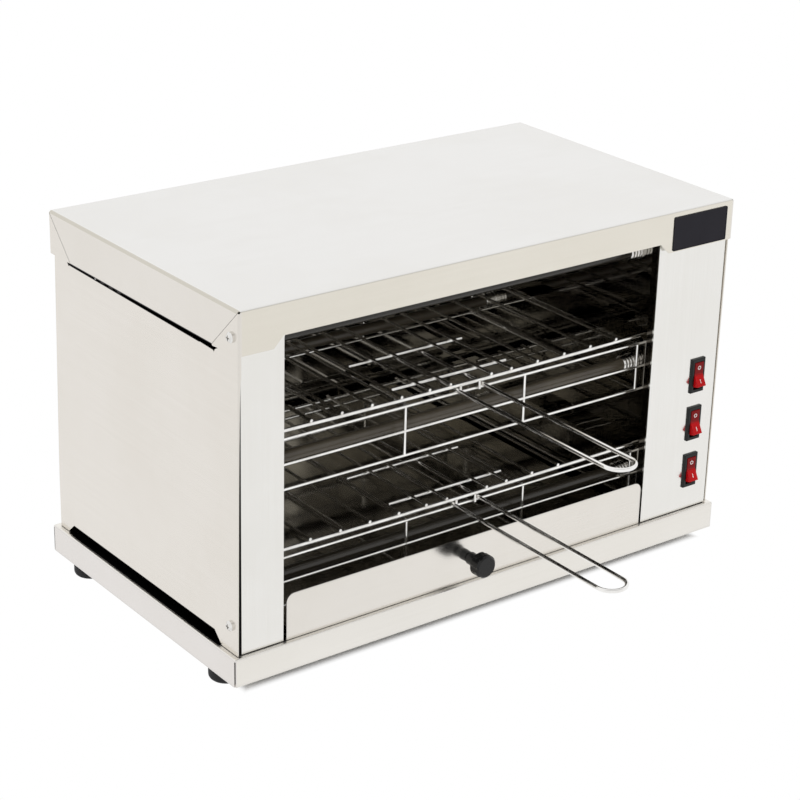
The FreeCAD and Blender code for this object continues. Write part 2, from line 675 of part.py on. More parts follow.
def rack(drop):
    """Rack of welded wires, each its own solid: long rods on cross rods, two braces and two stop pins."""
    level = RACK_LEVEL - drop
    left = RACK_CENTRE - RACK_HALF_WIDTH
    right = RACK_CENTRE + RACK_HALF_WIDTH
    bow = Part.Arc(Vector(left, RACK_FRONT, level), Vector(RACK_CENTRE, RACK_FRONT, level - RACK_BOW),
                   Vector(right, RACK_FRONT, level))
    section = Part.Wire(Part.makeCircle(CROSS_ROD, Vector(left, RACK_FRONT, level),
                                        Vector(*bow.tangent(bow.FirstParameter)[0])))
    front_rod = Part.Wire([bow.toShape()]).makePipeShell([section], True, False)
    rods = [front_rod, rod(Vector(left, RACK_BACK, level), Vector(right, RACK_BACK, level), CROSS_ROD)]
    brace_centre = HANDLE_CENTRE - 3
    for depth in BRACE_DEPTHS:
        height = level - rack_hang(RACK_CENTRE, depth) - 0.02
        rods.append(rod(Vector(brace_centre - BRACE_HALF_WIDTH, depth, height),
                        Vector(brace_centre + BRACE_HALF_WIDTH, depth, height), CROSS_ROD))
    long_level = level + CROSS_ROD + LONG_ROD + 0.02
    for offset in LONG_ROD_OFFSETS:
        for side in (-1, 1):
            x = RACK_CENTRE + side * offset
            start, end = [Vector(x, depth, long_level - rack_hang(x, depth))
                          for depth in (RACK_FRONT - CROSS_ROD, RACK_BACK + CROSS_ROD)]
            rods.append(rod(start, end, LONG_ROD))
    pin_depth = GUARD_FRONT - GUARD_WIRE - STOP_PIN - 0.3
    for side in (-1, 1):
        x = HANDLE_CENTRE + side * (HANDLE_HALF_GAP - HANDLE_WIRE - STOP_PIN - 0.1)
        pin = rod(Vector(x, pin_depth, GUARD_TOP_BAR - drop - 0.2), Vector(x, pin_depth, level - RACK_BOW), STOP_PIN)
        rods.append(pin.cut(front_rod))
    return Part.makeCompound(rods)


def rack_handle(drop):
    """Long wire loop under the rack's cross rods, reaching out of the cabinet."""
    level = RACK_LEVEL - RACK_BOW - drop - CROSS_ROD - HANDLE_WIRE
    back = BRACE_DEPTHS[1] + 2
    tip = -HANDLE_REACH + HANDLE_WIRE
    left = HANDLE_CENTRE - HANDLE_HALF_GAP
    right = HANDLE_CENTRE + HANDLE_HALF_GAP
    arc_start = tip + HANDLE_HALF_GAP
    edges = [Part.LineSegment(Vector(left, back, level), Vector(left, arc_start, level)).toShape(),
             Part.Arc(Vector(left, arc_start, level), Vector(HANDLE_CENTRE, tip, level),
                      Vector(right, arc_start, level)).toShape(),
             Part.LineSegment(Vector(right, arc_start, level), Vector(right, back, level)).toShape()]
    section = Part.Wire(Part.makeCircle(HANDLE_WIRE, Vector(left, back, level), BACK))
    return Part.Wire(edges).makePipeShell([section], True, False)


# Crumb tray

def crumb_tray():
    """Shallow pan whose front rises into a plate with rounded top corners."""
    floor = BASE_TOP + TRAY_GAP
    sheet = 0.8
    plate = box(TRAY_LEFT, TRAY_RIGHT, FRAME_FRONT, FRAME_FRONT + COVER_SHEET, floor, TRAY_TOP)
    top_corners = edges_where(plate, lambda p: abs(p.z - TRAY_TOP) < 1e-6)
    top_corners = [edge for edge in top_corners if abs(edge.Vertexes[0].Y - edge.Vertexes[1].Y) > 0.5]
    plate = plate.makeFillet(TRAY_CORNER, top_corners)
    left = TRAY_LEFT + 1.5
    right = TRAY_RIGHT - 1.5
    front = FRAME_FRONT + COVER_SHEET
    pan = box(left, right, front, PAN_BACK, floor, floor + PAN_HEIGHT)
    inside = box(left + sheet, right - sheet, front - 1, PAN_BACK - sheet, floor + sheet, floor + PAN_HEIGHT + 1)
    tray = joined([plate, pan.cut(inside.common(box(-300, 300, front, 300, 0, 300)))])
    return tray.cut(rod(Vector(KNOB_X, 0, KNOB_Z), Vector(KNOB_X, 10, KNOB_Z), 2.2))


KNOB_LENGTH = 28.0
KNOB_HEAD = 10.5


def tray_knob():
    """Moulded knob: round stem with a waist, and a lobed head."""
    face = Vector(KNOB_X, FRAME_FRONT, KNOB_Z)
    forward = BACK * -1
    neck_end = KNOB_LENGTH - KNOB_HEAD
    stem = turned([(0, 0), (0, 4.6), (5.8, 4.3), (6.2, 3.7), (7.4, 3.7), (7.8, 5.2), (neck_end, 5.2), (neck_end, 0)],
                  face, forward)
    centre = face + forward * neck_end
    head = turned([(0, 0), (0, 8.2), (1.4, 9.6), (KNOB_HEAD - 1.6, 9.6), (KNOB_HEAD, 8.0), (KNOB_HEAD, 0)], centre,
                  forward)
    lobes = 6
    for k in range(lobes):
        angle = math.radians(360 * (k + 0.5) / lobes)
        groove = centre + UP * (math.cos(angle) * 12.4) + RIGHT * (math.sin(angle) * 12.4)
        head = head.cut(rod(groove - forward, groove + forward * (KNOB_HEAD + 1), 3.6))
    knob = joined([stem, head])
    return knob.cut(rod(face - forward, face + forward * 14, 2.02))


def knob_screw():
    """Screw through the tray's front plate into the knob."""
    seat = Vector(KNOB_X, FRAME_FRONT + COVER_SHEET, KNOB_Z)
    return cross_head_screw(seat, BACK * -1, 4.0, 2.4, 2.0, 13.0)


# Rocker switches

BEZEL_FACE = FRAME_FRONT - BEZEL_PROUD
ROCKER_PIVOT = BEZEL_FACE + 5.0
ROCKER_HALF_LENGTH = 10.4
ROCKER_HALF_WIDTH = 4.6
APERTURE_HALF_LENGTH = 12.2
APERTURE_HALF_WIDTH = 4.85
HOUSING_BACK = 24.0
TRUNNION = 1.5


def switch_housing(height):
    """Bezel and box of a rocker switch, open at the front, with bores for the trunnions."""
    bezel = box(SWITCH_X - BEZEL_WIDTH / 2, SWITCH_X + BEZEL_WIDTH / 2, BEZEL_FACE, FRAME_FRONT,
                height - BEZEL_HEIGHT / 2, height + BEZEL_HEIGHT / 2)
    rim = edges_where(bezel, lambda p: abs(p.y - BEZEL_FACE) < 1e-6)
    bezel = bezel.makeFillet(0.8, rim)
    body = box(SWITCH_X - 6.2, SWITCH_X + 6.2, FRAME_FRONT - 0.5, HOUSING_BACK, height - 14.2, height + 14.2)
    well = box(SWITCH_X - APERTURE_HALF_WIDTH, SWITCH_X + APERTURE_HALF_WIDTH, BEZEL_FACE - 1, BEZEL_FACE + 12,
               height - APERTURE_HALF_LENGTH, height + APERTURE_HALF_LENGTH)
    bore = rod(Vector(SWITCH_X - 6.25, ROCKER_PIVOT, height), Vector(SWITCH_X + 6.25, ROCKER_PIVOT, height),
               TRUNNION + 0.05)
    return joined([bezel, body]).cut(well).cut(bore)


def rocker(height):
    """Rocker with a shallow V face, tipped to its off position, and two trunnions."""
    half = ROCKER_HALF_LENGTH
    face = BEZEL_FACE
    start = Vector(SWITCH_X - ROCKER_HALF_WIDTH, 0, 0)
    outline = [Vector(start.x, face - 3.1, height + half), Vector(start.x, face - 0.5, height),
               Vector(start.x, face - 3.1, height - half), Vector(start.x, ROCKER_PIVOT + 1.0, height - half),
               Vector(start.x, ROCKER_PIVOT + 2.6, height - 4), Vector(start.x, ROCKER_PIVOT + 2.6, height + 4),
               Vector(start.x, ROCKER_PIVOT + 1.0, height + half)]
    body = prism(outline, RIGHT * (2 * ROCKER_HALF_WIDTH))
    outer_edges = edges_where(body, lambda p: p.y < face - 2.0)
    body = body.makeFillet(0.7, outer_edges)
    pin = rod(Vector(SWITCH_X - 6.1, ROCKER_PIVOT, height), Vector(SWITCH_X + 6.1, ROCKER_PIVOT, height), TRUNNION)
    whole = joined([body, pin])
    whole.rotate(Vector(SWITCH_X, ROCKER_PIVOT, height), RIGHT, -ROCKER_TILT)
    return whole


def switch_terminals(height):
    """Two blade terminals at the back of a switch."""
    return [box(SWITCH_X - 3.1, SWITCH_X + 3.1, HOUSING_BACK, HOUSING_BACK + 9, height + z - 0.4, height + z + 0.4)
            for z in (-7, 7)]


# Wiring in the electrical compartment and behind the left liner

WIRE_RADIUS = 1.3
LUG_LENGTH = 1.0
BLOCK_X0, BLOCK_X1 = 178.0, 226.0
BLOCK_Y0, BLOCK_Y1 = 196.0, 216.0
BLOCK_TOP = BASE_TOP + 18.0


def lug(side, depth, height):
    """Ring lug on a cap's terminal pin."""
    wall = CHAMBER_LEFT if side < 0 else CHAMBER_RIGHT
    start = Vector(wall + side * 8.5, depth, height)
    end = start + RIGHT * side * LUG_LENGTH
    return rod(start, end, 3.6).cut(rod(start - RIGHT * side, end + RIGHT * side, PIN_RADIUS + 0.01))


def jumper(height):
    """Wire that joins the two tubes of a row on the left side."""
    x = CHAMBER_LEFT - 9.0
    run = rod(Vector(x, TUBE_FRONT + 3.0, height), Vector(x, TUBE_BACK - 3.0, height), WIRE_RADIUS)
    return joined([run, lug(-1, TUBE_FRONT, height), lug(-1, TUBE_BACK, height)])


def line_wire(row):
    """Wire from a switch to the front tube of its row."""
    height = TUBE_ROWS[row]
    switch = SWITCH_ROWS[row]
    x = CHAMBER_RIGHT + 9.0
    end = HOUSING_BACK + 9
    blade = SWITCH_X + 1.6
    run = bent_wire([Vector(x, TUBE_FRONT + 3.0, height), Vector(x, 62, height), Vector(blade, 62, switch + 7),
                     Vector(blade, end, switch + 7)], WIRE_RADIUS, 8)
    return joined([run, lug(1, TUBE_FRONT, height)])


def return_wire(row, x_down):
    """Wire from the rear tube of a row down to the terminal block."""
    height = TUBE_ROWS[row]
    x = CHAMBER_RIGHT + 9.0
    depth = TUBE_BACK - 6
    run = bent_wire([Vector(x, TUBE_BACK - 3.0, height), Vector(x, depth, height), Vector(x_down, depth - 3, height),
                     Vector(x_down, depth - 3, BLOCK_TOP)], WIRE_RADIUS, 2.6)
    return joined([run, lug(1, TUBE_BACK, height)])


def feed_wires():
    """Wire from the terminal block to the lowest switch, and the link from switch to switch."""
    end = HOUSING_BACK + 9
    lowest = SWITCH_ROWS["bottom"] - 7
    blade = SWITCH_X + 1.6
    feed = bent_wire([Vector(221, 206, BLOCK_TOP), Vector(221, 206, 84), Vector(221, 80, 84), Vector(blade, 60, lowest),
                      Vector(blade, end, lowest)], WIRE_RADIUS, 6)
    blade = SWITCH_X - 1.6
    links = []
    for low, high in (("bottom", "middle"), ("middle", "top")):
        start = SWITCH_ROWS[low] - 7
        stop = SWITCH_ROWS[high] - 7
        links.append(bent_wire([Vector(blade, end, start), Vector(blade, end + 12, start),
                                Vector(blade, end + 12, stop), Vector(blade, end, stop)], WIRE_RADIUS, 5))
    return [feed, joined(links)]


def terminal_block():
    """Ceramic terminal block on the base."""
    block = box(BLOCK_X0, BLOCK_X1, BLOCK_Y0, BLOCK_Y1, BASE_TOP, BLOCK_TOP)
    for k in range(1, 4):
        x = BLOCK_X0 + 12 * k
        block = block.cut(box(x - 0.7, x + 0.7, BLOCK_Y0 - 1, BLOCK_Y1 + 1, BASE_TOP + 7, BLOCK_TOP + 1))
    return block


def earth_stud():
    """Earth stud on the base, with its nut."""
    foot = Vector(196, 240, BASE_TOP)
    return joined([rod(foot, foot + UP * 12, 2.5), rod(foot, foot + UP * 1.0, 5.0)])


def earth_nut():
    """Nut and washer on the earth stud."""
    seat = Vector(196, 240, BASE_TOP + 1.0)
    corners = [seat + UP + Vector(math.cos(math.radians(60 * k)), math.sin(math.radians(60 * k)), 0) * 4.6
               for k in range(6)]
    nut = prism(corners, UP * 4).cut(rod(seat, seat + UP * 9, 2.52))
    washer = rod(seat, seat + UP, 5.0).cut(rod(seat - UP, seat + UP * 2, 2.52))
    return [washer, nut]


# Build every piece

save("base_tray", base_tray())
save("rubber_feet", Part.makeCompound([rubber_foot(place) for place in foot_places()]))
save("foot_screws", Part.makeCompound([foot_screw(place) for place in foot_places()]))
save("foot_nuts", Part.makeCompound([foot_nut(place) for place in foot_places()]))

casing = outer_shell()
save("top_cover", top_cover(casing))
save("left_side_panel", side_panel(casing, PANEL_FRONT_EDGES["left"]))
save("right_side_panel", mirrored(side_panel(casing, PANEL_FRONT_EDGES["right"])))
save("front_frame", front_frame())
save("back_panel", back_panel())
save("side_screws", Part.makeCompound(side_screws()))
save("back_screws", Part.makeCompound(back_screws()))
save("cable_gland", cable_gland())
save("gland_nut", gland_nut())

save("left_liner", left_liner())
save("right_liner", right_liner())
save("back_liner", back_liner())
save("roof_reflector", roof_reflector())
for deck, drop in (("upper", 0), ("lower", DECK_PITCH)):
    save(deck + "_runner_left", rack_runner(-1, RACK_LEVEL - drop))
    save(deck + "_runner_right", rack_runner(1, RACK_LEVEL - drop))
    save(deck + "_guard_bars", Part.makeCompound(guard_bars(drop)))
    save(deck + "_guard_hoops", Part.makeCompound(guard_hoops(deck, drop)))
    save(deck + "_rack", rack(drop))
    save(deck + "_rack_handle", rack_handle(drop))

for row, height in TUBE_ROWS.items():
    for place, depth in (("front", TUBE_FRONT), ("rear", TUBE_BACK)):
        save("quartz_tube_" + row + "_" + place, quartz_tube(depth, height))
save("heating_coils", Part.makeCompound([heating_coil(depth, height) for height in TUBE_ROWS.values()
                                         for depth in (TUBE_FRONT, TUBE_BACK)]))
for row, height in TUBE_ROWS.items():
    save("tube_caps_" + row, Part.makeCompound([end_cap(side, depth, height) for side in (-1, 1)
                                                for depth in (TUBE_FRONT, TUBE_BACK)]))

save("crumb_tray", crumb_tray())
save("tray_knob", tray_knob())
save("knob_screw", knob_screw())

for row, height in SWITCH_ROWS.items():
    save("switch_housing_" + row, switch_housing(height))
    save("switch_rocker_" + row, rocker(height))
save("switch_terminals", Part.makeCompound([blade for height in SWITCH_ROWS.values()
                                            for blade in switch_terminals(height)]))
save("jumper_wires", Part.makeCompound([jumper(height) for height in TUBE_ROWS.values()]))
save("line_wires", Part.makeCompound([line_wire(row) for row in TUBE_ROWS]))
save("return_wires", Part.makeCompound([return_wire(row, 208 - 12 * k) for k, row in enumerate(TUBE_ROWS)]))
save("feed_wires", Part.makeCompound(feed_wires()))
save("terminal_block", terminal_block())
save("earth_stud", earth_stud())
save("earth_nut", Part.makeCompound(earth_nut()))
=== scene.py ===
"""Looks of a countertop commercial toaster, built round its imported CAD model.

The CAD nodes keep their shapes and get procedural finishes. What is too fine for the solids is
modelled here: the bare badge plate on the cover and the O and I signs on the rockers. Lengths are
in metres where nothing else is said.
"""

import json
import logging
import math
from dataclasses import dataclass, field
from enum import Enum

import bpy
from mathutils import Matrix, Vector

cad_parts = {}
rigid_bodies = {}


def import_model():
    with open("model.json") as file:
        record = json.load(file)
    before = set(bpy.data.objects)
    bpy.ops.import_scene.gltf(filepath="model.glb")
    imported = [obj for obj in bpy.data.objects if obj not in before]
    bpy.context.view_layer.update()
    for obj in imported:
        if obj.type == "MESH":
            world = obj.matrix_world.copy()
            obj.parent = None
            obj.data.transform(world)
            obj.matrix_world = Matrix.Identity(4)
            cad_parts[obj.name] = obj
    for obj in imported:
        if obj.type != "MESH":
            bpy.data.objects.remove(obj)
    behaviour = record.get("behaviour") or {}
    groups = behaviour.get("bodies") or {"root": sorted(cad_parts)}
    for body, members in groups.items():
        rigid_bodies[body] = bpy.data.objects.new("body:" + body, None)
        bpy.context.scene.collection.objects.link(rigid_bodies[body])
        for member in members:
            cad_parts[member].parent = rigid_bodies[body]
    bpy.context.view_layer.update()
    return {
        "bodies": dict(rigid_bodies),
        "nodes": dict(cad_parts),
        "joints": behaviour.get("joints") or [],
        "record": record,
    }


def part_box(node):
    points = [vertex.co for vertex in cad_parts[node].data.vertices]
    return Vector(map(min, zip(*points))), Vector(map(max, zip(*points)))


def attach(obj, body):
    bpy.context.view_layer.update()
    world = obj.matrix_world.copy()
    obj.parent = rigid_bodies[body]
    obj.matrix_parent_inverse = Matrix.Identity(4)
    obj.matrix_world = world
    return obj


logger = logging.getLogger("toaster")

MM = 0.001

Pair = tuple[float, float]
Triple = tuple[float, float, float]
Colour = Triple
Socket = bpy.types.NodeSocket
Feed = Socket | float | Triple | Vector

WHITE = (1.0, 1.0, 1.0)


class Graph:
    """A node tree with short calls that add nodes and join them."""

    def __init__(self, tree: bpy.types.NodeTree) -> None:
        """Take the tree of a material, a world or a node group to work in."""
        self.tree = tree

    def feed(self, socket: Socket, value: Feed) -> None:
        """Join a socket to another one or set its own value.

        Args:
            socket: Input to feed.
            value: Output to join, or a constant; a colour gets full alpha.
        """
        if isinstance(value, Socket):
            self.tree.links.new(value, socket)
        elif socket.type == "RGBA":
            socket.default_value = (*value, 1.0)
        else:
            socket.default_value = value

    def add(self, kind: str, feeds: dict[str | int, Feed] | None = None,
            **settings: object) -> bpy.types.Node:
        """Add a node.

        Args:
            kind: Node type.
            feeds: Inputs by name or place, with what each one gets.
            settings: Properties of the node.

        Returns:
            The new node.
        """
        node = self.tree.nodes.new(kind)
        for key, value in settings.items():
            setattr(node, key, value)
        for name, value in (feeds or {}).items():
            self.feed(node.inputs[name], value)
        return node

    def maths(self, operation: str, first: Feed, second: Feed = 0.5, third: Feed = 0.0) -> Socket:
        """Return the result of a Math node."""
        operands = {0: first, 1: second, 2: third}
        return self.add("ShaderNodeMath", operands, operation=operation).outputs[0]

    def vectors(self, operation: str, first: Feed, second: Feed) -> bpy.types.NodeOutputs:
        """Return a Vector Math node's outputs: the vector first, and Value for a dot product."""
        return self.add("ShaderNodeVectorMath", {0: first, 1: second}, operation=operation).outputs

    def axes(self, vector: Feed) -> bpy.types.NodeOutputs:
        """Return the X, Y and Z parts of a vector."""
        return self.add("ShaderNodeSeparateXYZ", {0: vector}).outputs

    def spread(self, value: Feed, low: float, high: float, start: float = 0.0,
               end: float = 1.0) -> Socket:
        """Return a value mapped smoothly, so that low gives start and high gives end."""
        feeds = {0: value, 1: low, 2: high, 3: start, 4: end}
        return self.add("ShaderNodeMapRange", feeds, interpolation_type="SMOOTHSTEP").outputs[0]

    def blend(self, factor: Feed, first: Feed, second: Feed, kind: str = "MIX") -> Socket:
        """Return two colours mixed, with a factor of 0 for the first one alone."""
        feeds = {0: factor, 6: first, 7: second}
        return self.add("ShaderNodeMix", feeds, data_type="RGBA", blend_type=kind).outputs[2]

    def noise(self, vector: Feed, scale: Feed, detail: float) -> Socket:
        """Return a noise from 0 to 1, with its number of cells per unit and of finer layers."""
        feeds = {"Vector": vector, "Scale": scale, "Detail": detail}
        return self.add("ShaderNodeTexNoise", feeds).outputs[0]

    def bump(self, height: Feed, strength: float, depth: float, under: Feed | None = None,
             invert: bool = False) -> Socket:
        """Bend the surface's normal by a height.

        Args:
            height: Height, from 0 to 1.
            strength: Share of the relief that shows.
            depth: Depth of the relief.
            under: Normal that is bent already, where there is one.
            invert: Whether the height goes inwards.

        Returns:
            The bent normal.
        """
        node = self.add("ShaderNodeBump", {"Height": height, "Strength": strength,
                                           "Distance": depth}, invert=invert)
        if under is not None:
            self.feed(node.inputs["Normal"], under)
        return node.outputs[0]


class Effect:
    """A look that several finishes share, as a node group."""

    name = "effect"
    inputs: dict[str, str] = {}
    outputs: dict[str, str] = {}

    def wire(self, graph: Graph, given: bpy.types.NodeOutputs) -> tuple[Socket, ...]:
        """Lay the group's nodes and return what feeds each output, in order."""
        raise NotImplementedError

    def group(self) -> bpy.types.NodeTree:
        """Return the node group, which is built at its first use."""
        tree = bpy.data.node_groups.get(self.name)
        if tree is None:
            tree = bpy.data.node_groups.new(self.name, "ShaderNodeTree")
            for in_out, sockets in (("INPUT", self.inputs), ("OUTPUT", self.outputs)):
                for key, kind in sockets.items():
                    tree.interface.new_socket(key, in_out=in_out, socket_type="NodeSocket" + kind)
            graph = Graph(tree)
            source = graph.add("NodeGroupInput")
            sink = graph.add("NodeGroupOutput")
            for place, result in enumerate(self.wire(graph, source.outputs)):
                graph.feed(sink.inputs[place], result)
        return tree

    def place(self, on: "Coat", **feeds: Feed) -> bpy.types.NodeOutputs:
        """Put the group in a material, at its Object coordinates unless a vector is given."""
        feeds = {"Vector": on.here, **feeds}
        return on.add("ShaderNodeGroup", feeds, node_tree=self.group()).outputs


class RolledGrain(Effect):
    """Fine parallel lines of rolled or brushed sheet; the vector comes squeezed across them."""

    name = "rolled_grain"
    inputs = {"Vector": "Vector"}
    outputs = {"Shade": "Float", "Height": "Float"}
    streak_scale = 0.13
    streak_share = 0.3

    def wire(self, graph: Graph, given: bpy.types.NodeOutputs) -> tuple[Socket, ...]:
        """Mix fine lines with broader streaks.

        Args:
            graph: The group's tree.
            given: The group's inputs.

        Returns:
            The shade and the height.
        """
        fine = graph.noise(given["Vector"], 1.0, 3.0)
        broad = graph.noise(given["Vector"], self.streak_scale, 2.0)
        lines = graph.maths("MULTIPLY", fine, 1.0 - self.streak_share)
        return graph.maths("MULTIPLY_ADD", broad, self.streak_share, lines), fine


class HandlingMarks(Effect):
    """Faint cloudy marks left by hands and wiping."""

    name = "handling_marks"
    inputs = {"Vector": "Vector", "Scale": "Float"}
    outputs = {"Mask": "Float"}
    finer_scale = 6.0
    finer_share = 0.3

    def wire(self, graph: Graph, given: bpy.types.NodeOutputs) -> tuple[Socket, ...]:
        """Break broad clouds up with finer ones.

        Args:
            graph: The group's tree.
            given: The group's inputs.

        Returns:
            The mask.
        """
        clouds = graph.noise(given["Vector"], given["Scale"], 3.0)
        scale = graph.maths("MULTIPLY", given["Scale"], self.finer_scale)
        finer = graph.noise(given["Vector"], scale, 2.0)
        broken = graph.maths("MULTIPLY_ADD", finer, self.finer_share, clouds)
        return (graph.spread(broken, 0.5, 0.85),)


class NearEdge(Effect):
    """Mask along the edges of a box-shaped sheet piece."""

    name = "near_edge"
    inputs = {"Vector": "Vector", "Low": "Vector", "High": "Vector", "Width": "Float"}
    outputs = {"Mask": "Float"}

    def wire(self, graph: Graph, given: bpy.types.NodeOutputs) -> tuple[Socket, ...]:
        """Measure the distance to the nearest edge: the second smallest of those to the planes.

        Args:
            graph: The group's tree.
            given: The group's inputs.

        Returns:
            The mask.
        """
        above = graph.vectors("SUBTRACT", given["Vector"], given["Low"])[0]
        below = graph.vectors("SUBTRACT", given["High"], given["Vector"])[0]
        x, y, z = graph.axes(graph.vectors("MINIMUM", above, below)[0])
        smaller = graph.maths("MINIMUM", x, y)
        larger = graph.maths("MAXIMUM", x, y)
        second = graph.maths("MAXIMUM", smaller, graph.maths("MINIMUM", larger, z))
        return (graph.spread(graph.maths("DIVIDE", second, given["Width"]), 1.0, 0.0),)


class SheetRipple(Effect):
    """Slow waves of thin sheet, which bend what it mirrors."""

    name = "sheet_ripple"
    inputs = {"Vector": "Vector", "Scale": "Float"}
    outputs = {"Height": "Float"}

    def wire(self, graph: Graph, given: bpy.types.NodeOutputs) -> tuple[Socket, ...]:
        """Return the height of one slow noise."""
        return (graph.noise(given["Vector"], given["Scale"], 1.0),)


class TintAndShadePatches(Effect):
    """Patchy tint of metal: dull patches on plated parts, and on the oven's liners heat tint
    together with painted shade.
    """

    name = "tint_and_shade_patches"
    inputs = {"Vector": "Vector", "Scale": "Float", "Clean": "Color", "Tinted": "Color",
              "Amount": "Float"}
    outputs = {"Colour": "Color", "Mask": "Float"}

    def wire(self, graph: Graph, given: bpy.types.NodeOutputs) -> tuple[Socket, ...]:
        """Let the tint and the painted shade come and go in clouds.

        Args:
            graph: The group's tree.
            given: The group's inputs.

        Returns:
            The colour and the mask.
        """
        clouds = graph.noise(given["Vector"], given["Scale"], 4.0)
        mask = graph.maths("MULTIPLY", graph.spread(clouds, 0.35, 0.75), given["Amount"])
        return graph.blend(mask, given["Clean"], given["Tinted"]), mask


class MouldedSkin(Effect):
    """Fine even grain of moulded plastic and rubber."""

    name = "moulded_skin"
    inputs = {"Vector": "Vector", "Scale": "Float"}
    outputs = {"Shade": "Float", "Height": "Float"}
    shade_scale = 0.05

    def wire(self, graph: Graph, given: bpy.types.NodeOutputs) -> tuple[Socket, ...]:
        """Return a slow noise for the shade and a fine one for the height."""
        slow = graph.maths("MULTIPLY", given["Scale"], self.shade_scale)
        return tuple(graph.noise(given["Vector"], scale, 2.0) for scale in (slow, given["Scale"]))


class Grain(Enum):
    """Direction of a sheet's rolling lines, as how much each axis is squeezed."""

    ALONG_X = (14.0, 2200.0, 2200.0)
    ALONG_Y = (2200.0, 14.0, 2200.0)
    UPRIGHT = (2200.0, 2200.0, 14.0)


class Coat(Graph):
    """The tree of a material, with its shader's inputs and its Object coordinates."""

    def __init__(self, material: bpy.types.Material, piece: str | None = None) -> None:
        """Start the tree.

        Args:
            material: New material to work in.
            piece: CAD node that it goes on, where the pattern follows that node's box.
        """
        material.use_nodes = True
        super().__init__(material.node_tree)
        self.shader = self.tree.nodes["Principled BSDF"].inputs
        self.here = self.add("ShaderNodeTexCoord").outputs["Object"]
        self.piece = piece

    def put(self, name: str, value: Feed) -> None:
        """Feed an input of the shader."""
        self.feed(self.shader[name], value)


@dataclass(frozen=True)
class Finish:
    """A finish; its material is built once and shared by the pieces that have it.

    Attributes:
        name: Name of the material, which is that of the slot.
        colour: Colour of the bare surface.
        roughness: Roughness of the bare surface.
        shades: How much of the colour the low and the high places of the pattern keep.
        relief: Share of the fine relief that shows.
        depth: Depth of the fine relief.
    """

    name: str
    colour: Colour
    roughness: float
    shades: Pair = (1.0, 1.0)
    relief: float = 1.0
    depth: float = 0.0

    @property
    def follows_box(self) -> bool:
        """Whether the pattern follows the piece's box, so that each piece has its own material."""
        return False

    def material(self, piece: str | None = None) -> bpy.types.Material:
        """Build the material.

        Args:
            piece: CAD node that it goes on, where the pattern follows that node's box.

        Returns:
            The new material.
        """
        material = bpy.data.materials.new(self.name)
        coat = Coat(material, piece)
        coat.put("Roughness", self.roughness)
        self.wire(coat)
        return material

    def wire(self, on: Coat) -> None:
        """Lay the nodes that feed the shader."""
        raise NotImplementedError

    def shade(self, factor: float) -> Colour:
        """Return the bare colour made darker or lighter."""
        return tuple(min(1.0, part * factor) for part in self.colour)

    def shaded(self, on: Coat, place: Feed) -> Socket:
        """Return the colour at a place from 0, the pattern's low one, to 1, its high one."""
        return on.blend(place, *(self.shade(factor) for factor in self.shades))


SOFT_EDGE = 0.2 * MM


@dataclass(frozen=True)
class Zone:
    """Box-shaped zone of a sheet piece, such as a face or a bend, painted with a light or a shade
    of its own.

    Attributes:
        colour: Colour of the zone.
        low: Where it begins on X, Y and Z, or None where it has no limit.
        high: Where it ends.
        rougher: How much rougher it is than the rest; below nothing it is smoother.
    """

    colour: Colour
    low: tuple[float | None, ...] = (None, None, None)
    high: tuple[float | None, ...] = (None, None, None)
    rougher: float = 0.0

    def mask(self, on: Coat) -> Feed:
        """Make a mask of the zone.

        Args:
            on: The material.

        Returns:
            1 in the zone and 0 outside it.
        """
        inside: Feed = 1.0
        for place, *limits in zip(on.axes(on.here), self.low, self.high):
            for limit, soft in zip(limits, (SOFT_EDGE, -SOFT_EDGE)):
                if limit is not None:
                    past = on.spread(place, limit - soft, limit + soft)
                    inside = on.maths("MULTIPLY", inside, past)
        return inside


@dataclass(frozen=True)
class Line:
    """Straight dark line along a side of the casing: a mitre seam, or painted shade along the edge
    of a slot or a flange.

    Attributes:
        start: Depth and height of its start.
        end: Depth and height of its end.
        width: Half the width of the line.
        colour: Colour of the line.
    """

    start: Pair
    end: Pair
    width: float
    colour: Colour

    def mask(self, on: Coat) -> Socket:
        """Make a mask of the line.

        Args:
            on: The material.

        Returns:
            1 on the line and 0 beside it.
        """
        start, end = Vector((0, *self.start)), Vector((0, *self.end))
        length = (end - start).length
        along = (end - start).normalized()
        across = Vector((0, -along.z, along.y))
        run, aside = (on.maths("SUBTRACT", on.vectors("DOT_PRODUCT", on.here, axis)["Value"],
                               axis.dot(start)) for axis in (along, across))
        ends = on.maths("MULTIPLY", on.spread(run, -SOFT_EDGE / 2, SOFT_EDGE / 2),
                        on.spread(run, length, length - SOFT_EDGE))
        near = on.spread(on.maths("ABSOLUTE", aside), self.width, self.width / 2)
        return on.maths("MULTIPLY", ends, near)


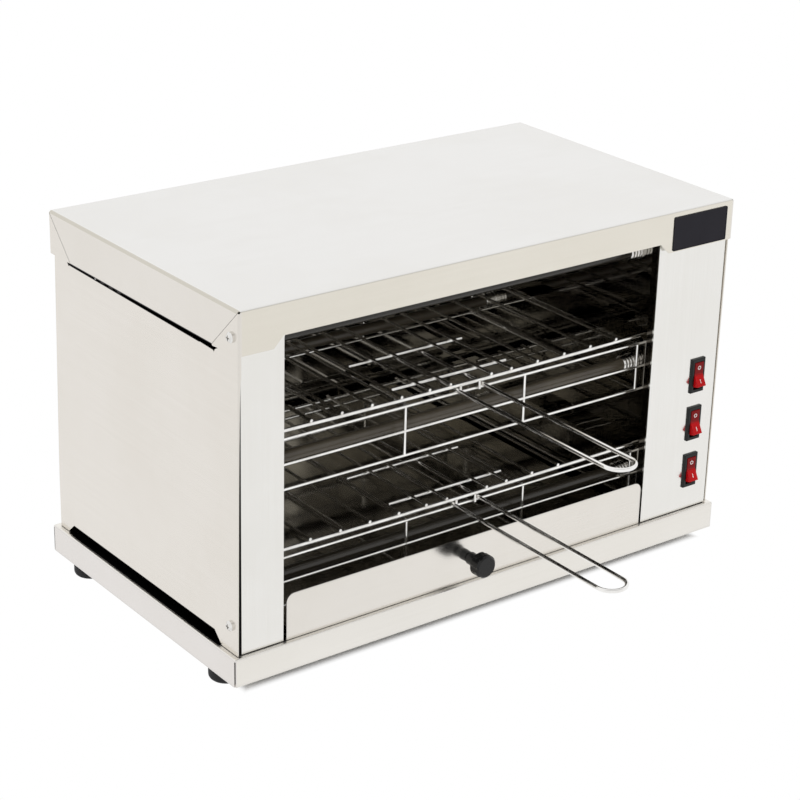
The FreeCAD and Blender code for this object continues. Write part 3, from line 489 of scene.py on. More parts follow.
@dataclass(frozen=True)
class SatinSheet(Finish):
    """Bright satin stainless sheet with rolling lines, painted shade along its edges and faint
    marks.

    Attributes:
        grain: Direction of the rolling lines.
        zones: Faces and bends painted with a light or a shade of their own.
        lines: Seams that show dark, and painted shade along the edges of slots and flanges.
        edge_width: Width of the painted shade along the folded edges.
        edge_shade: How much of the colour the edges keep under that painted shade.
        grooves: How much of it the darker rolling lines keep.
        crests: How much of it the paler ones keep.
        wiped: How much of it the cloudy marks keep.
        grain_rough: Difference in roughness between the rolling lines.
        marks_rough: How much rougher the marks are.
        marks_scale: Marks per metre.
        wave_scale: Slow waves per metre.
        ripple: Height of the waves.
    """

    relief: float = 0.25
    depth: float = 0.01 * MM
    grain: Grain = Grain.ALONG_X
    zones: tuple[Zone, ...] = ()
    lines: tuple[Line, ...] = ()
    edge_width: float = 2.5 * MM
    edge_shade: float = 0.93
    grooves: Colour = (0.984, 0.982, 0.977)
    crests: Colour = (1.012, 1.012, 1.012)
    wiped: Colour = (0.988, 0.985, 0.978)
    grain_rough: float = 0.08
    marks_rough: float = 0.05
    marks_scale: float = 9.0
    wave_scale: float = 7.0
    ripple: float = 0.1 * MM

    @property
    def follows_box(self) -> bool:
        """The painted shade along the edges is measured from the piece's box."""
        return True

    def wire(self, on: Coat) -> None:
        """Mix the grain, the tones of zones and lines, mostly painted light and shade, the painted
        shade along the edges, and the marks.

        Args:
            on: The material.
        """
        squeezed = on.add("ShaderNodeMapping", {"Vector": on.here, "Scale": self.grain.value})
        grain = RolledGrain().place(on, Vector=squeezed.outputs[0])
        marks = HandlingMarks().place(on, Scale=self.marks_scale)["Mask"]
        low, high = (Vector(corner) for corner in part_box(on.piece))
        edge = NearEdge().place(on, Low=low, High=high, Width=self.edge_width)
        tone: Feed = self.colour
        rough: Feed = self.roughness - self.grain_rough / 2
        for zone in self.zones:
            mask = zone.mask(on)
            tone = on.blend(mask, tone, zone.colour)
            if zone.rougher:
                rough = on.maths("MULTIPLY_ADD", mask, zone.rougher, rough)
        for line in self.lines:
            tone = on.blend(line.mask(on), tone, line.colour)
        lined = on.blend(on.spread(grain["Shade"], 0.3, 0.7), self.grooves, self.crests)
        wiped = on.blend(marks, WHITE, self.wiped)
        # Painted shade along the folded edges.
        folded = on.blend(edge["Mask"], wiped, (self.edge_shade,) * 3)
        grain_marks_and_edge_shade = on.blend(1.0, lined, folded, "MULTIPLY")
        on.put("Base Color", on.blend(1.0, tone, grain_marks_and_edge_shade, "MULTIPLY"))
        rough = on.maths("MULTIPLY_ADD", grain["Shade"], self.grain_rough, rough)
        on.put("Roughness", on.maths("MULTIPLY_ADD", marks, self.marks_rough, rough))
        on.put("Metallic", 1.0)
        wave = SheetRipple().place(on, Scale=self.wave_scale)
        slow = on.bump(wave["Height"], 1.0, self.ripple)
        on.put("Normal", on.bump(grain["Height"], self.relief, self.depth, under=slow))


@dataclass(frozen=True)
class OvenMirror(Finish):
    """Polished sheet inside the oven, slightly wavy, with patches of heat tint and painted shade.

    Attributes:
        tint: Colour of the darkest patches, heat tint together with painted shade of the chamber.
        tinted: Share of that colour there.
        tint_scale: Patches per metre.
        zones: Places painted with a shade of their own.
        marks_rough: How much rougher the cloudy marks are.
        marks_scale: Marks per metre.
        wave_scale: Slow waves per metre.
        ripple: Height of the waves.
    """

    tint: Colour = (0.06, 0.05, 0.04)
    tinted: float = 0.7
    tint_scale: float = 11.0
    zones: tuple[Zone, ...] = ()
    marks_rough: float = 0.05
    marks_scale: float = 16.0
    wave_scale: float = 18.0
    ripple: float = 0.12 * MM

    def wire(self, on: Coat) -> None:
        """Mix the patches of heat tint and painted shade, the painted shade of the zones, the
        marks and the waves.

        Args:
            on: The material.
        """
        tone = TintAndShadePatches().place(on, Scale=self.tint_scale, Amount=self.tinted,
                                Clean=self.colour, Tinted=self.tint)["Colour"]
        for zone in self.zones:
            tone = on.blend(zone.mask(on), tone, zone.colour)
        marks = HandlingMarks().place(on, Scale=self.marks_scale)["Mask"]
        on.put("Base Color", tone)
        on.put("Roughness", on.maths("MULTIPLY_ADD", marks, self.marks_rough, self.roughness))
        on.put("Metallic", 1.0)
        wave = SheetRipple().place(on, Scale=self.wave_scale)
        on.put("Normal", on.bump(wave["Height"], 1.0, self.ripple))


@dataclass(frozen=True)
class BrightMetal(Finish):
    """Plated wire, screws and turned caps: bright metal with faint dull patches.

    Attributes:
        dull: Colour of the dull patches.
        patches: Patches per metre.
        amount: Share of the surface that dulls.
        dull_rough: How much rougher the patches are.
        skin: Grains of the surface per metre.
    """

    relief: float = 0.15
    depth: float = 0.02 * MM
    dull: Colour = (0.45, 0.42, 0.38)
    patches: float = 60.0
    amount: float = 0.35
    dull_rough: float = 0.25
    skin: float = 1800.0

    def wire(self, on: Coat) -> None:
        """Mix the bright metal with its dull patches and a fine grain.

        Args:
            on: The material.
        """
        dull = TintAndShadePatches().place(on, Scale=self.patches, Amount=self.amount, Clean=self.colour,
                                Tinted=self.dull)
        rough = on.maths("MULTIPLY_ADD", dull["Mask"], self.dull_rough, self.roughness)
        skin = MouldedSkin().place(on, Scale=self.skin)
        on.put("Base Color", dull["Colour"])
        on.put("Roughness", rough)
        on.put("Metallic", 1.0)
        on.put("Normal", on.bump(skin["Height"], self.relief, self.depth))


@dataclass(frozen=True)
class SmokedQuartz(Finish):
    """Frosted quartz tube with a smoky tint, fine drawing lines, and painted shade outside the lit
    rows.

    Attributes:
        lit_rows: Heights between which the tubes are paler; outside them the tubes get painted
            shade.
        fade: Height over which the painted shade begins.
        unlit_share: How much of its colour a tube keeps in the painted shade.
        squeeze: How much each axis is squeezed for the drawing lines.
        smoke_scale: Clouds of smoke per metre.
        smoke_share: Share of the smoke in the shade; the rest is the lines.
        lines_rough: Difference in roughness between the lines.
        clear: Share of the light that goes through.
        bends: Index of refraction.
    """

    shades: Pair = (0.75, 1.2)
    relief: float = 0.1
    depth: float = 0.02 * MM
    lit_rows: Pair = (120 * MM, 220 * MM)
    fade: float = 5.0 * MM
    unlit_share: float = 0.3
    squeeze: Triple = (6.0, 900.0, 900.0)
    smoke_scale: float = 25.0
    smoke_share: float = 0.6
    lines_rough: float = 0.12
    clear: float = 0.35
    bends: float = 1.46

    def wire(self, on: Coat) -> None:
        """Mix slow smoke with lines along the tube, and painted shade outside the lit rows.

        Args:
            on: The material.
        """
        squeezed = on.add("ShaderNodeMapping", {"Vector": on.here, "Scale": self.squeeze})
        lines = RolledGrain().place(on, Vector=squeezed.outputs[0])
        smoke = on.maths("MULTIPLY", on.noise(on.here, self.smoke_scale, 3.0), self.smoke_share)
        tone = on.maths("MULTIPLY_ADD", lines["Shade"], 1.0 - self.smoke_share, smoke)
        lit_tone = self.shaded(on, on.spread(tone, 0.3, 0.7))
        height = on.axes(on.here)[2]
        bottom, top = self.lit_rows
        painted_shade = on.maths("ADD", on.spread(height, bottom, bottom - self.fade),
                        on.spread(height, top, top + self.fade))
        on.put("Base Color", on.blend(painted_shade, lit_tone, self.shade(self.unlit_share)))
        on.put("Roughness", on.maths("MULTIPLY_ADD", lines["Shade"], self.lines_rough,
                                     self.roughness - self.lines_rough / 2))
        on.put("Transmission Weight", self.clear)
        on.put("IOR", self.bends)
        on.put("Normal", on.bump(lines["Height"], self.relief, self.depth))


@dataclass(frozen=True)
class WoundWire(Finish):
    """Resistance wire wound so close that its turns read as fine rings.

    Attributes:
        pitch: Distance from turn to turn.
    """

    shades: Pair = (0.15, 1.1)
    depth: float = 0.5 * MM
    pitch: float = 1.6 * MM

    def wire(self, on: Coat) -> None:
        """Draw the turns across the tube's axis, with painted shade between them.

        Args:
            on: The material.
        """
        phase = on.maths("FRACT", on.maths("DIVIDE", on.axes(on.here)[0], self.pitch))
        crest = on.maths("SINE", on.maths("MULTIPLY", phase, math.pi))
        # The colour is darker between the turns: painted shade in the grooves.
        on.put("Base Color", self.shaded(on, crest))
        on.put("Metallic", on.spread(crest, 0.2, 0.6))
        on.put("Normal", on.bump(crest, self.relief, self.depth))


@dataclass(frozen=True)
class Moulded(Finish):
    """Moulded plastic, rubber or ceramic with a fine skin.

    Attributes:
        skin: Grains of the skin per metre.
        gloss: Specular level; 0.5 is that of plain plastic.
        shaded_upper_half: How much of its colour the piece keeps in its upper half, as painted
            shade.
        fade: How far above the middle the painted shade begins and is full.
        marks_rough: How much rougher the cloudy marks are.
        marks_scale: Marks per metre.
    """

    shades: Pair = (0.82, 1.18)
    relief: float = 0.4
    depth: float = 0.05 * MM
    skin: float = 1500.0
    gloss: float = 0.5
    shaded_upper_half: float = 1.0
    fade: Pair = (-1.5 * MM, 2.5 * MM)
    marks_rough: float = 0.12
    marks_scale: float = 120.0

    @property
    def follows_box(self) -> bool:
        """The painted shade on the upper half is measured from the piece's box."""
        return self.shaded_upper_half < 1.0

    def wire(self, on: Coat) -> None:
        """Vary the shade slowly and the height finely, and darken the upper half as painted shade
        where asked.

        Args:
            on: The material.
        """
        skin = MouldedSkin().place(on, Scale=self.skin)
        marks = HandlingMarks().place(on, Scale=self.marks_scale)["Mask"]
        tone = self.shaded(on, skin["Shade"])
        if self.follows_box:
            # Painted shade on the upper half, which lies deeper in the bezel.
            middle = sum(corner[2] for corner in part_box(on.piece)) / 2
            begun, full = (middle + distance for distance in self.fade)
            upper = on.spread(on.axes(on.here)[2], begun, full)
            tone = on.blend(upper, tone, self.shade(self.shaded_upper_half))
        on.put("Base Color", tone)
        on.put("Roughness", on.maths("MULTIPLY_ADD", marks, self.marks_rough, self.roughness))
        on.put("Specular IOR Level", self.gloss)
        on.put("Normal", on.bump(skin["Height"], self.relief, self.depth))


@dataclass(frozen=True)
class Sleeve(Finish):
    """Braided sleeve on a wire.

    Attributes:
        braid: Crossings of the braid per metre.
    """

    shades: Pair = (1.1, 0.6)
    relief: float = 0.6
    depth: float = 0.15 * MM
    braid: float = 900.0

    def wire(self, on: Coat) -> None:
        """Draw a small cell pattern for the braid, with painted shade in its gaps.

        Args:
            on: The material.
        """
        cells = on.add("ShaderNodeTexVoronoi", {"Vector": on.here, "Scale": self.braid})
        gaps = cells.outputs["Distance"]
        # The gaps between the strands are darker: painted shade in the braid.
        on.put("Base Color", self.shaded(on, on.spread(gaps, 0.1, 0.7)))
        on.put("Normal", on.bump(gaps, self.relief, self.depth, invert=True))


def outside(colour: Colour, limit: float, above: float | None = None) -> tuple[Zone, Zone]:
    """Return a zone on the left side and one on the right, past a distance from the middle."""
    return (Zone(colour, low=(None, None, above), high=(-limit, None, None)),
            Zone(colour, low=(limit, None, above)))


# Painted light and shade, apart from the mitre's dark seam: one sheet gets a tone of its own on
# each face or bend for how light falls on it, and near-black stands for shade in slots, folds and
# hollows.
COVER_SIDE_PAINTED_SHADE = (0.773, 0.740, 0.695)
COVER_FRONT_PAINTED_SHADE = (0.776, 0.741, 0.665)
BEND_PAINTED_SHADE = (0.67, 0.64, 0.57)
BASE_SIDE_PAINTED_SHADE = (0.775, 0.745, 0.722)
BASE_LEDGE_PAINTED_HIGHLIGHT = (0.90, 0.875, 0.83)
PAN_PAINTED_SHADE = (0.38, 0.36, 0.315)
RETURN_PAINTED_SHADE = (0.10, 0.09, 0.075)
MITRE = (0.12, 0.11, 0.09)
# Near-black painted shade along slot and flange edges, in folds and inside the casing.
PAINTED_SHADE_BLACK = (0.012, 0.011, 0.010)

# Depth and height of the points that the lines on the casing's sides join.
COVER_BACK_CORNER = (213.0 * MM, 305.5 * MM)
FLANGE_FRONT = (-23.0 * MM, 270.8 * MM)
FLANGE_BACK = (179.5 * MM, 270.4 * MM)
UPPER_SLOT = ((-7.0 * MM, 267.5 * MM), (180.5 * MM, 269.3 * MM))
LOWER_SLOT = ((-23.7 * MM, 43.3 * MM), (189.7 * MM, 42.3 * MM))

FINISHES = {finish.name: finish for finish in (
    # The cover's front skirt, side flanges and upper side bends carry painted shade.
    SatinSheet("cover_steel", (0.819, 0.811, 0.795), 0.20,
               zones=(Zone(COVER_FRONT_PAINTED_SHADE, high=(None, -57.2 * MM, None)),
                      *outside(COVER_SIDE_PAINTED_SHADE, 237.2 * MM),
                      *outside(BEND_PAINTED_SHADE, 236.0 * MM, above=303.4 * MM)),
               lines=(Line(COVER_BACK_CORNER, FLANGE_BACK, 0.4 * MM, MITRE),
                      # The dark line along the flange's lower edge is painted shade over the slot.
                      Line(FLANGE_FRONT, FLANGE_BACK, 0.9 * MM, PAINTED_SHADE_BLACK))),
    # The dark lines along the side panel's slots are painted shade.
    SatinSheet("side_steel", (0.780, 0.745, 0.697), 0.20, grain=Grain.ALONG_Y,
               lines=(Line(*UPPER_SLOT, 0.6 * MM, PAINTED_SHADE_BLACK),
                      Line(*LOWER_SLOT, 0.6 * MM, PAINTED_SHADE_BLACK))),
    # The frame's left fold is painted black and the return round the opening dark: painted shade
    # in the fold and in the opening.
    SatinSheet("frame_steel", (0.828, 0.818, 0.790), 0.15, grain=Grain.UPRIGHT,
               zones=(Zone(PAINTED_SHADE_BLACK, high=(-233.8 * MM, None, None)),
                      Zone(RETURN_PAINTED_SHADE, low=(-200.0 * MM, -52.3 * MM, None),
                           high=(200.0 * MM, None, None)))),
    # The base's sides carry painted shade and its top ledge a painted highlight; the black zones
    # are painted shade inside the casing, seen through the slots.
    SatinSheet("base_steel", (0.822, 0.797, 0.752), 0.20,
               zones=(*outside(BASE_SIDE_PAINTED_SHADE, 241.0 * MM),
                      Zone(BASE_LEDGE_PAINTED_HIGHLIGHT, low=(None, None, 33.5 * MM), rougher=0.15),
                      Zone(PAINTED_SHADE_BLACK, low=(-237.0 * MM, -52.0 * MM, 29.0 * MM),
                           high=(237.0 * MM, 208.0 * MM, None)),
                      Zone(PAINTED_SHADE_BLACK, low=(-239.7 * MM, -31.0 * MM, 33.0 * MM),
                           high=(239.7 * MM, 196.0 * MM, None)))),
    SatinSheet("back_steel", (0.78, 0.775, 0.76), 0.24, grain=Grain.UPRIGHT),
    # Behind its front plate the tray's pan gets a darker painted shade, as it lies inside the
    # oven.
    SatinSheet("tray_steel", (0.792, 0.760, 0.712), 0.22, ripple=0.04 * MM,
               zones=(Zone(PAN_PAINTED_SHADE, low=(None, -52.5 * MM, None), rougher=-0.13),)),
    # The liners' dark colour and dark patches are partly heat tint and partly painted shade inside
    # the chamber; the black zone at the far left is painted shade.
    OvenMirror("liner_steel", (0.38, 0.365, 0.33), 0.02,
               zones=(Zone(PAINTED_SHADE_BLACK, high=(-199.5 * MM, None, None)),)),
    BrightMetal("rack_wire", (0.88, 0.87, 0.85), 0.10),
    BrightMetal("guard_wire", (0.90, 0.89, 0.87), 0.10),
    # The tubes above and below the lit rows are darkened as painted shade.
    SmokedQuartz("quartz", (0.11, 0.092, 0.066), 0.22),
    WoundWire("coil_wire", (0.30, 0.27, 0.24), 0.4),
    BrightMetal("cap_metal", (0.82, 0.81, 0.79), 0.16),
    Moulded("foot_rubber", (0.016, 0.016, 0.017), 0.6, gloss=0.2),
    BrightMetal("screw_metal", (0.80, 0.79, 0.77), 0.14, patches=250.0),
    Moulded("knob_plastic", (0.004, 0.004, 0.004), 0.22, depth=0.03 * MM, gloss=0.32),
    Moulded("switch_black", (0.008, 0.009, 0.009), 0.30, depth=0.02 * MM, gloss=0.25),
    # The rockers' upper halves are darkened as painted shade.
    Moulded("rocker_red", (0.44, 0.004, 0.006), 0.18, depth=0.01 * MM, gloss=0.12,
            shaded_upper_half=0.42),
    BrightMetal("blade_brass", (0.75, 0.56, 0.26), 0.25),
    Moulded("block_ceramic", (0.80, 0.77, 0.70), 0.5),
    Sleeve("wire_sleeve", (0.45, 0.12, 0.07), 0.7),
    Sleeve("feed_sleeve", (0.16, 0.08, 0.045), 0.7),
    Moulded("gland_nylon", (0.02, 0.02, 0.02), 0.42),
)}


@dataclass
class Studio:
    """Pale floor, soft lamps and the photograph's camera.

    Attributes:
        camera_place: Place of the camera.
        heading: Degrees from +Y towards +X that it looks along.
        dip: Degrees that it looks down.
        roll: Degrees that it is rolled about its own axis.
        lens: Focal length in millimetres, on a sensor 36 millimetres wide.
        floor_size: Side of the floor.
        floor_tone: Its reflectance.
        shadow_from: How far inside the base's outline the floor keeps its whole shadow.
        shadow_to: How far inside the outline the floor is still white.
        bare_left: Width along the left side that is white as well.
        lamps: Name, direction and strength of each lamp.
        softness: Degrees that each lamp spans.
        fill: Strength of the world's even light on matt surfaces.
        ceiling: Strength of the greyer patch high up in front, which only gloss shows.
        patch_front: How far to the front the patch begins and is full.
        patch_height: How far up it begins and is full.
    """

    camera_place: Triple = (-1.006556, -1.248276, 0.836525)
    heading: float = 37.3933
    dip: float = 22.7780
    roll: float = 1.4715
    lens: float = 99.026
    floor_size: float = 30.0
    floor_tone: float = 0.94
    shadow_from: float = 14.5 * MM
    shadow_to: float = 5.0 * MM
    bare_left: float = 6.0 * MM
    lamps: tuple[tuple[str, Triple, float], ...] = (("key", (-0.5, -0.6, 0.75), 1.3),
                                                    ("top", (0.3, 0.3, 1.0), 0.5))
    softness: float = 50.0
    fill: float = 0.55
    ceiling: float = 0.7
    patch_front: Pair = (-0.05, 0.3)
    patch_height: Pair = (0.5, 0.75)

    def build(self) -> None:
        """Make the camera, the floor, the lamps and the world."""
        self.add_camera()
        self.add_floor()
        self.add_lamps()
        self.light_world()
        bpy.context.scene.view_settings.view_transform = "Standard"

    def add_camera(self) -> None:
        """Place the camera at the photograph's viewing angle."""
        heading, dip, roll = (math.radians(value) for value in (self.heading, self.dip, self.roll))
        turn = (Matrix.Rotation(-heading, 4, "Z") @ Matrix.Rotation(math.pi / 2 - dip, 4, "X")
                @ Matrix.Rotation(roll, 4, "Z"))
        data = bpy.data.cameras.new("photo_camera")
        data.lens = self.lens
        camera = bpy.data.objects.new("photo_camera", data)
        bpy.context.scene.collection.objects.link(camera)
        camera.matrix_world = Matrix.Translation(self.camera_place) @ turn
        bpy.context.scene.camera = camera

    def add_floor(self) -> None:
        """Lay a wide floor that keeps the shadow under the base and is white further off."""
        bpy.ops.mesh.primitive_plane_add(size=self.floor_size, location=(0, 0, 0))
        floor = bpy.context.object
        floor.name = "floor"
        material = bpy.data.materials.new("floor_paint")
        paint = Coat(material)
        paint.put("Base Color", (self.floor_tone,) * 3)
        paint.put("Roughness", 0.9)
        paint.put("Specular IOR Level", 0.0)
        matt = paint.tree.nodes["Principled BSDF"].outputs[0]
        white = paint.add("ShaderNodeEmission", {"Color": WHITE, "Strength": 1.0}).outputs[0]
        away = paint.maths("MULTIPLY", self.away_from_base(paint), self.direct_ray(paint))
        both = paint.add("ShaderNodeMixShader", {0: away, 1: matt, 2: white}).outputs[0]
        paint.feed(paint.tree.nodes["Material Output"].inputs["Surface"], both)
        floor.data.materials.append(material)

    def away_from_base(self, paint: Coat) -> Socket:
        """Make a mask that is nothing under the base and rises to 1 just within its outline.

        Args:
            paint: Tree of the floor's material.

        Returns:
            The mask.
        """
        low, high = (Vector(corner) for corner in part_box("base_tray"))
        low.x += self.bare_left
        above = paint.vectors("SUBTRACT", paint.here, low)[0]
        below = paint.vectors("SUBTRACT", high, paint.here)[0]
        x, y, _ = paint.axes(paint.vectors("MINIMUM", above, below)[0])
        return paint.spread(paint.maths("MINIMUM", x, y), self.shadow_from, self.shadow_to)

    def direct_ray(self, graph: Graph) -> Socket:
        """Tell the rays from the camera, or by way of gloss or glass, from the others.

        Args:
            graph: Tree of the floor or the world.

        Returns:
            1 for those rays and 0 for others.
        """
        rays = graph.add("ShaderNodeLightPath").outputs
        direct = graph.maths("MAXIMUM", rays["Is Camera Ray"], rays["Is Glossy Ray"])
        return graph.maths("MAXIMUM", direct, rays["Is Transmission Ray"])

    def add_lamps(self) -> None:
        """Hang wide soft lamps that only light the object and don't show in its gloss."""
        for name, towards, power in self.lamps:
            data = bpy.data.lights.new(name, "SUN")
            data.angle = math.radians(self.softness)
            data.energy = power
            lamp = bpy.data.objects.new(name, data)
            lamp.rotation_euler = (-Vector(towards)).to_track_quat("-Z", "Y").to_euler()
            lamp.visible_glossy = False
            bpy.context.scene.collection.objects.link(lamp)

    def light_world(self) -> None:
        """Light matt surfaces evenly, and show gloss a white studio, greyer high up in front."""
        world = bpy.data.worlds.new("studio")
        world.use_nodes = True
        graph = Graph(world.node_tree)
        plain = world.node_tree.nodes["Background"]
        graph.feed(plain.inputs["Color"], WHITE)
        graph.feed(plain.inputs["Strength"], self.fill)
        _, depth, height = graph.axes(graph.add("ShaderNodeTexCoord").outputs["Generated"])
        begun, full = (-part for part in self.patch_front)
        high = graph.maths("MULTIPLY", graph.spread(depth, begun, full),
                           graph.spread(height, *self.patch_height))
        shown = graph.spread(high, 0.0, 1.0, 1.0, self.ceiling)
        camera = graph.add("ShaderNodeLightPath").outputs["Is Camera Ray"]
        seen = graph.add("ShaderNodeBackground", {"Color": WHITE})
        graph.feed(seen.inputs["Strength"], graph.maths("MAXIMUM", shown, camera))
        both = graph.add("ShaderNodeMixShader", {0: self.direct_ray(graph), 1: plain.outputs[0],
                                                 2: seen.outputs[0]})
        graph.feed(world.node_tree.nodes["World Output"].inputs["Surface"], both.outputs[0])
        bpy.context.scene.world = world


@dataclass
class Assembly:
    """A group of CAD nodes that come off the bench together.

    Attributes:
        nodes: Names of the nodes.
    """

    nodes: tuple[str, ...] = ()

    def dress(self, frame: dict, made: dict[str, bpy.types.Material]) -> None:
        """Give each node the material of its slot.

        Args:
            made: Materials made so far, by slot or by node.
        """
        slots = {part["node"]: part["material_slot"] for part in frame["record"]["subparts"]}
        for name in self.nodes:
            slot = slots[name]
            finish = FINISHES[slot]
            key = name if finish.follows_box else slot
            if key not in made:
                made[key] = finish.material(name)
            node = frame["nodes"][name]
            node.data.materials.clear()
            node.data.materials.append(made[key])
            logger.info("%s gets %s", name, slot)

    def build(self) -> None:
        """Model the pieces that the solids leave out; most assemblies have none."""


def clear_selection() -> None:
    """Deselect everything in object mode."""
    bpy.ops.object.select_all(action="DESELECT")


def slab(size: Triple, middle: Triple) -> bpy.types.Object:
    """Add a box.

    Args:
        size: Its size.
        middle: Place of its middle.

    Returns:
        The box.
    """
    clear_selection()
    bpy.ops.mesh.primitive_cube_add(size=1, location=middle, scale=size)
    bpy.ops.object.transform_apply(location=True, rotation=True, scale=True)
    return bpy.context.object


def soften(piece: bpy.types.Object, width: float) -> None:
    """Bevel the sharp edges of a piece.

    Args:
        piece: The piece, in object mode.
        width: Width of the bevel.
    """
    bevel = piece.modifiers.new("soft_edges", "BEVEL")
    bevel.width = width
    bevel.segments = 2
    bevel.limit_method = "ANGLE"
    bpy.ops.object.modifier_apply(modifier=bevel.name)


@dataclass
class Badge:
    """Bare black plate that lies flat on the cover's front, at the right.

    Attributes:
        left: Left edge.
        right: Right edge.
        bottom: Lower edge.
        top: Upper edge.
        face: Depth of the cover's front face.
        thickness: Thickness of the plate.
        rim: Width of its raised rim.
        sunk: How far its field lies below the rim.
        corner: Corner radius.
        corner_steps: Faces round each corner.
        soft: Width of the bevel on its edges.
    """

    left: float = 172.0 * MM
    right: float = 229.8 * MM
    bottom: float = 273.0 * MM
    top: float = 301.2 * MM
    face: float = -58.0 * MM
    thickness: float = 0.8 * MM
    rim: float = 0.9 * MM
    sunk: float = 0.25 * MM
    corner: float = 1.2 * MM
    corner_steps: int = 5
    soft: float = 0.12 * MM

    def build(self) -> bpy.types.Object:
        """Model the plate: a slab with rounded corners and a sunk field inside a raised rim.

        Returns:
            The plate.
        """
        plate = slab((self.right - self.left, self.thickness, self.top - self.bottom),
                     ((self.left + self.right) / 2, self.face - self.thickness / 2,
                      (self.bottom + self.top) / 2))
        plate.name = "badge_plate"
        self.pick(plate, "EDGE")
        bpy.ops.mesh.bevel(offset=self.corner, segments=self.corner_steps)
        self.pick(plate, "FACE")
        bpy.ops.mesh.inset(thickness=self.rim)
        bpy.ops.mesh.extrude_region_move(TRANSFORM_OT_translate={"value": (0, self.sunk, 0)})
        bpy.ops.object.mode_set(mode="OBJECT")
        soften(plate, self.soft)
        return plate

    def pick(self, plate: bpy.types.Object, kind: str) -> None:
        """Select only the edges through the thickness, or only the front face.

        Args:
            plate: The plate; it ends in edit mode.
            kind: EDGE or FACE.
        """
        bpy.ops.object.mode_set(mode="EDIT")
        bpy.ops.mesh.select_mode(type=kind)
        bpy.ops.mesh.select_all(action="DESELECT")
        bpy.ops.object.mode_set(mode="OBJECT")
        mesh = plate.data
        if kind == "EDGE":
            for edge in mesh.edges:
                start, end = (mesh.vertices[index].co for index in edge.vertices)
                edge.select = abs(start.y - end.y) > self.thickness / 2
        else:
            for face in mesh.polygons:
                face.select = face.normal.y < -0.9
        bpy.ops.object.mode_set(mode="EDIT")

    def dress(self, plate: bpy.types.Object) -> None:
        """Lacquer the plate and hang it on the cabinet.

        Args:
            plate: The plate.
        """
        lacquer = Moulded("badge_lacquer", (0.013, 0.012, 0.017), 0.3, depth=0.01 * MM, gloss=0.12)
        plate.data.materials.append(lacquer.material())
        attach(plate, "cabinet")
        logger.info("badge_plate made")


@dataclass
class RockerSigns:
    """The O and the I on one rocker, as thin printed shapes on its two slopes.

    Attributes:
        row: Row of the switch.
        height: Height of the rocker's pivot.
        centre: The switch's place across the front.
        pivot: Depth of the pivot.
        ridge: Depth of the ridge between the slopes, with the rocker level.
        drop: How far the slopes come forward at the rocker's ends.
        reach: Distance from the ridge to each end.
        tilt: Degrees that the rocker is tipped at rest.
        along: Place of the sign's middle, as a share of the slope.
        ring: Outer radius of the O.
        ring_sides: Sides of its outline.
        stroke: Width of a stroke.
        print_depth: Thickness of the print.
        soft: Width of the bevel on the I's edges.
    """

    row: str
    height: float
    centre: float = 215.0 * MM
    pivot: float = -50.8 * MM
    ridge: float = -56.3 * MM
    drop: float = 2.6 * MM
    reach: float = 10.4 * MM
    tilt: float = 13.0
    along: float = 0.55
    ring: float = 1.7 * MM
    ring_sides: int = 32
    stroke: float = 0.55 * MM
    print_depth: float = 0.12 * MM
    soft: float = 0.05 * MM

    def build(self) -> bpy.types.Object:
        """Model both signs and join them.

        Returns:
            The pair of signs.
        """
        signs = [self.letter_o(), self.letter_i()]
        clear_selection()
        for sign in signs:
            sign.select_set(True)
        bpy.context.view_layer.objects.active = signs[0]
        bpy.ops.object.join()
        pair = bpy.context.object
        pair.name = "rocker_signs_" + self.row
        return pair

    def letter_o(self) -> bpy.types.Object:
        """Model the O on the upper slope.

        Returns:
            The sign.
        """
        clear_selection()
        bpy.ops.mesh.primitive_circle_add(vertices=self.ring_sides, radius=self.ring,
                                          fill_type="NGON", location=(0, 0, 0))
        ring = bpy.context.object
        bpy.ops.object.mode_set(mode="EDIT")
        bpy.ops.mesh.select_all(action="SELECT")
        bpy.ops.mesh.inset(thickness=self.stroke)
        bpy.ops.mesh.delete(type="FACE")
        bpy.ops.mesh.select_all(action="SELECT")
        bpy.ops.mesh.extrude_region_move(
            TRANSFORM_OT_translate={"value": (0, 0, self.print_depth)})
        bpy.ops.mesh.select_all(action="SELECT")
        bpy.ops.mesh.normals_make_consistent(inside=False)
        bpy.ops.object.mode_set(mode="OBJECT")
        self.lay_on_slope(ring, 1)
        return ring

    def letter_i(self) -> bpy.types.Object:
        """Model the I on the lower slope.

        Returns:
            The sign.
        """
        bar = slab((self.stroke, 2 * self.ring, self.print_depth), (0, 0, self.print_depth / 2))
        soften(bar, self.soft)
        self.lay_on_slope(bar, -1)
        return bar

    def lay_on_slope(self, sign: bpy.types.Object, side: int) -> None:
        """Move a sign drawn flat at the origin onto a slope of the tipped rocker.

        Args:
            sign: The sign, lying in the XY plane with its print upwards.
            side: 1 for the upper slope, -1 for the lower one.
        """
        slope = math.atan2(self.drop, self.reach)
        upright = Matrix.Rotation(math.radians(90) + side * slope, 4, "X")
        ridge = Vector((self.centre, self.ridge - self.pivot, 0))
        middle = ridge + Vector((0, -self.drop, side * self.reach)) * self.along
        tip = Matrix.Rotation(math.radians(-self.tilt), 4, "X")
        pivot = Matrix.Translation((0, self.pivot, self.height))
        sign.data.transform(pivot @ tip @ Matrix.Translation(middle) @ upright)

    def dress(self, pair: bpy.types.Object) -> None:
        """Print the signs white and hang them on their rocker.

        Args:
            pair: The pair of signs.
        """
        ink = Moulded("sign_print", (0.86, 0.85, 0.83), 0.4, depth=0.01 * MM)
        pair.data.materials.clear()
        pair.data.materials.append(ink.material())
        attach(pair, self.row + "_rocker")
        logger.info("%s made", pair.name)


ROWS = ("top", "middle", "bottom")
DECKS = ("upper", "lower")


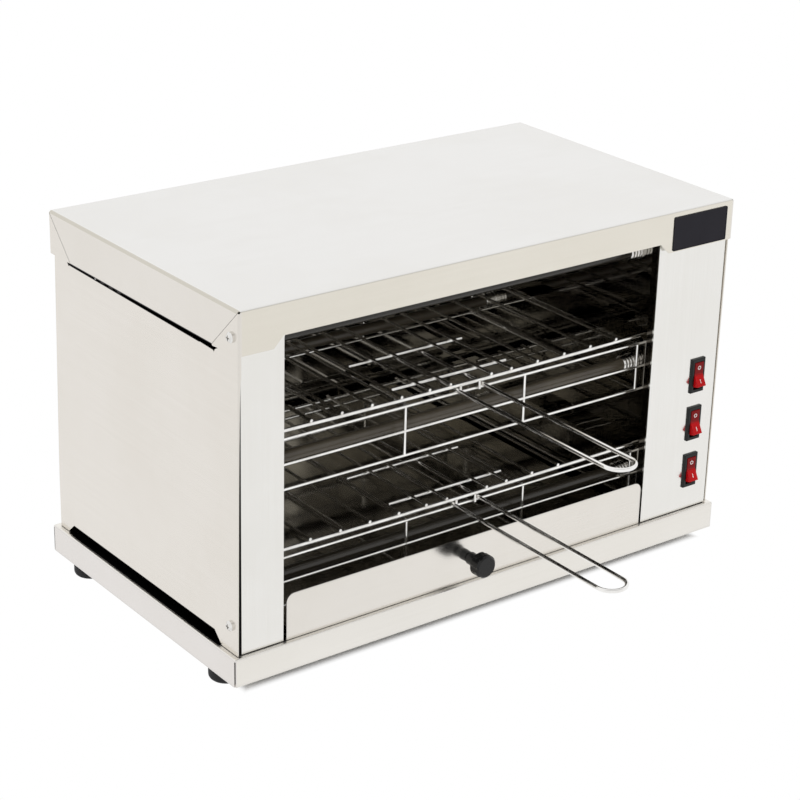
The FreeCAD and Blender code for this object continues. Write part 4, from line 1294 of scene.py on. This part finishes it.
@dataclass
class Casing(Assembly):
    """Base, cover, side panels, front frame, back panel and what fastens them.

    Attributes:
        badge: The bare plate on the cover.
    """

    nodes: tuple[str, ...] = (
        "base_tray", "rubber_feet", "foot_screws", "foot_nuts", "top_cover", "left_side_panel",
        "right_side_panel", "front_frame", "back_panel", "side_screws", "back_screws",
        "cable_gland", "gland_nut")
    badge: Badge = field(default_factory=Badge)

    def build(self) -> None:
        """Model the badge plate."""
        self.badge.dress(self.badge.build())


@dataclass
class Oven(Assembly):
    """Liners, runners, guards and heating tubes of the chamber."""

    nodes: tuple[str, ...] = (
        ("left_liner", "right_liner", "back_liner", "roof_reflector", "heating_coils")
        + tuple(deck + "_runner_" + side for deck in DECKS for side in ("left", "right"))
        + tuple(deck + "_guard_" + part for deck in DECKS for part in ("bars", "hoops"))
        + tuple("tube_caps_" + row for row in ROWS)
        + tuple("quartz_tube_" + row + "_" + end for row in ROWS for end in ("front", "rear")))


@dataclass
class Racks(Assembly):
    """The two sliding racks with their handles."""

    nodes: tuple[str, ...] = tuple(deck + part for deck in DECKS
                                   for part in ("_rack", "_rack_handle"))


@dataclass
class CrumbTray(Assembly):
    """The sliding tray with its knob."""

    nodes: tuple[str, ...] = ("crumb_tray", "tray_knob", "knob_screw")


@dataclass
class SwitchColumn(Assembly):
    """Three rocker switches with their signs.

    Attributes:
        heights: Height of each rocker's pivot.
    """

    nodes: tuple[str, ...] = tuple("switch_" + part + "_" + row for row in ROWS
                                   for part in ("housing", "rocker"))
    heights: tuple[float, ...] = (156.0 * MM, 113.0 * MM, 70.0 * MM)

    def build(self) -> None:
        """Model the signs of each rocker."""
        for row, height in zip(ROWS, self.heights):
            signs = RockerSigns(row, height)
            signs.dress(signs.build())


@dataclass
class Wiring(Assembly):
    """Terminals and wires of the electrical compartment."""

    nodes: tuple[str, ...] = (
        "switch_terminals", "jumper_wires", "line_wires", "return_wires", "feed_wires",
        "terminal_block", "earth_stud", "earth_nut")


def main() -> None:
    """Load the frame, build the studio and dress the toaster."""
    logging.basicConfig(level=logging.INFO)
    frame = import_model()
    Studio().build()
    made: dict[str, bpy.types.Material] = {}
    for assembly in (Casing(), Oven(), Racks(), CrumbTray(), SwitchColumn(), Wiring()):
        assembly.dress(frame, made)
        assembly.build()


if __name__ == "__main__":
    main()
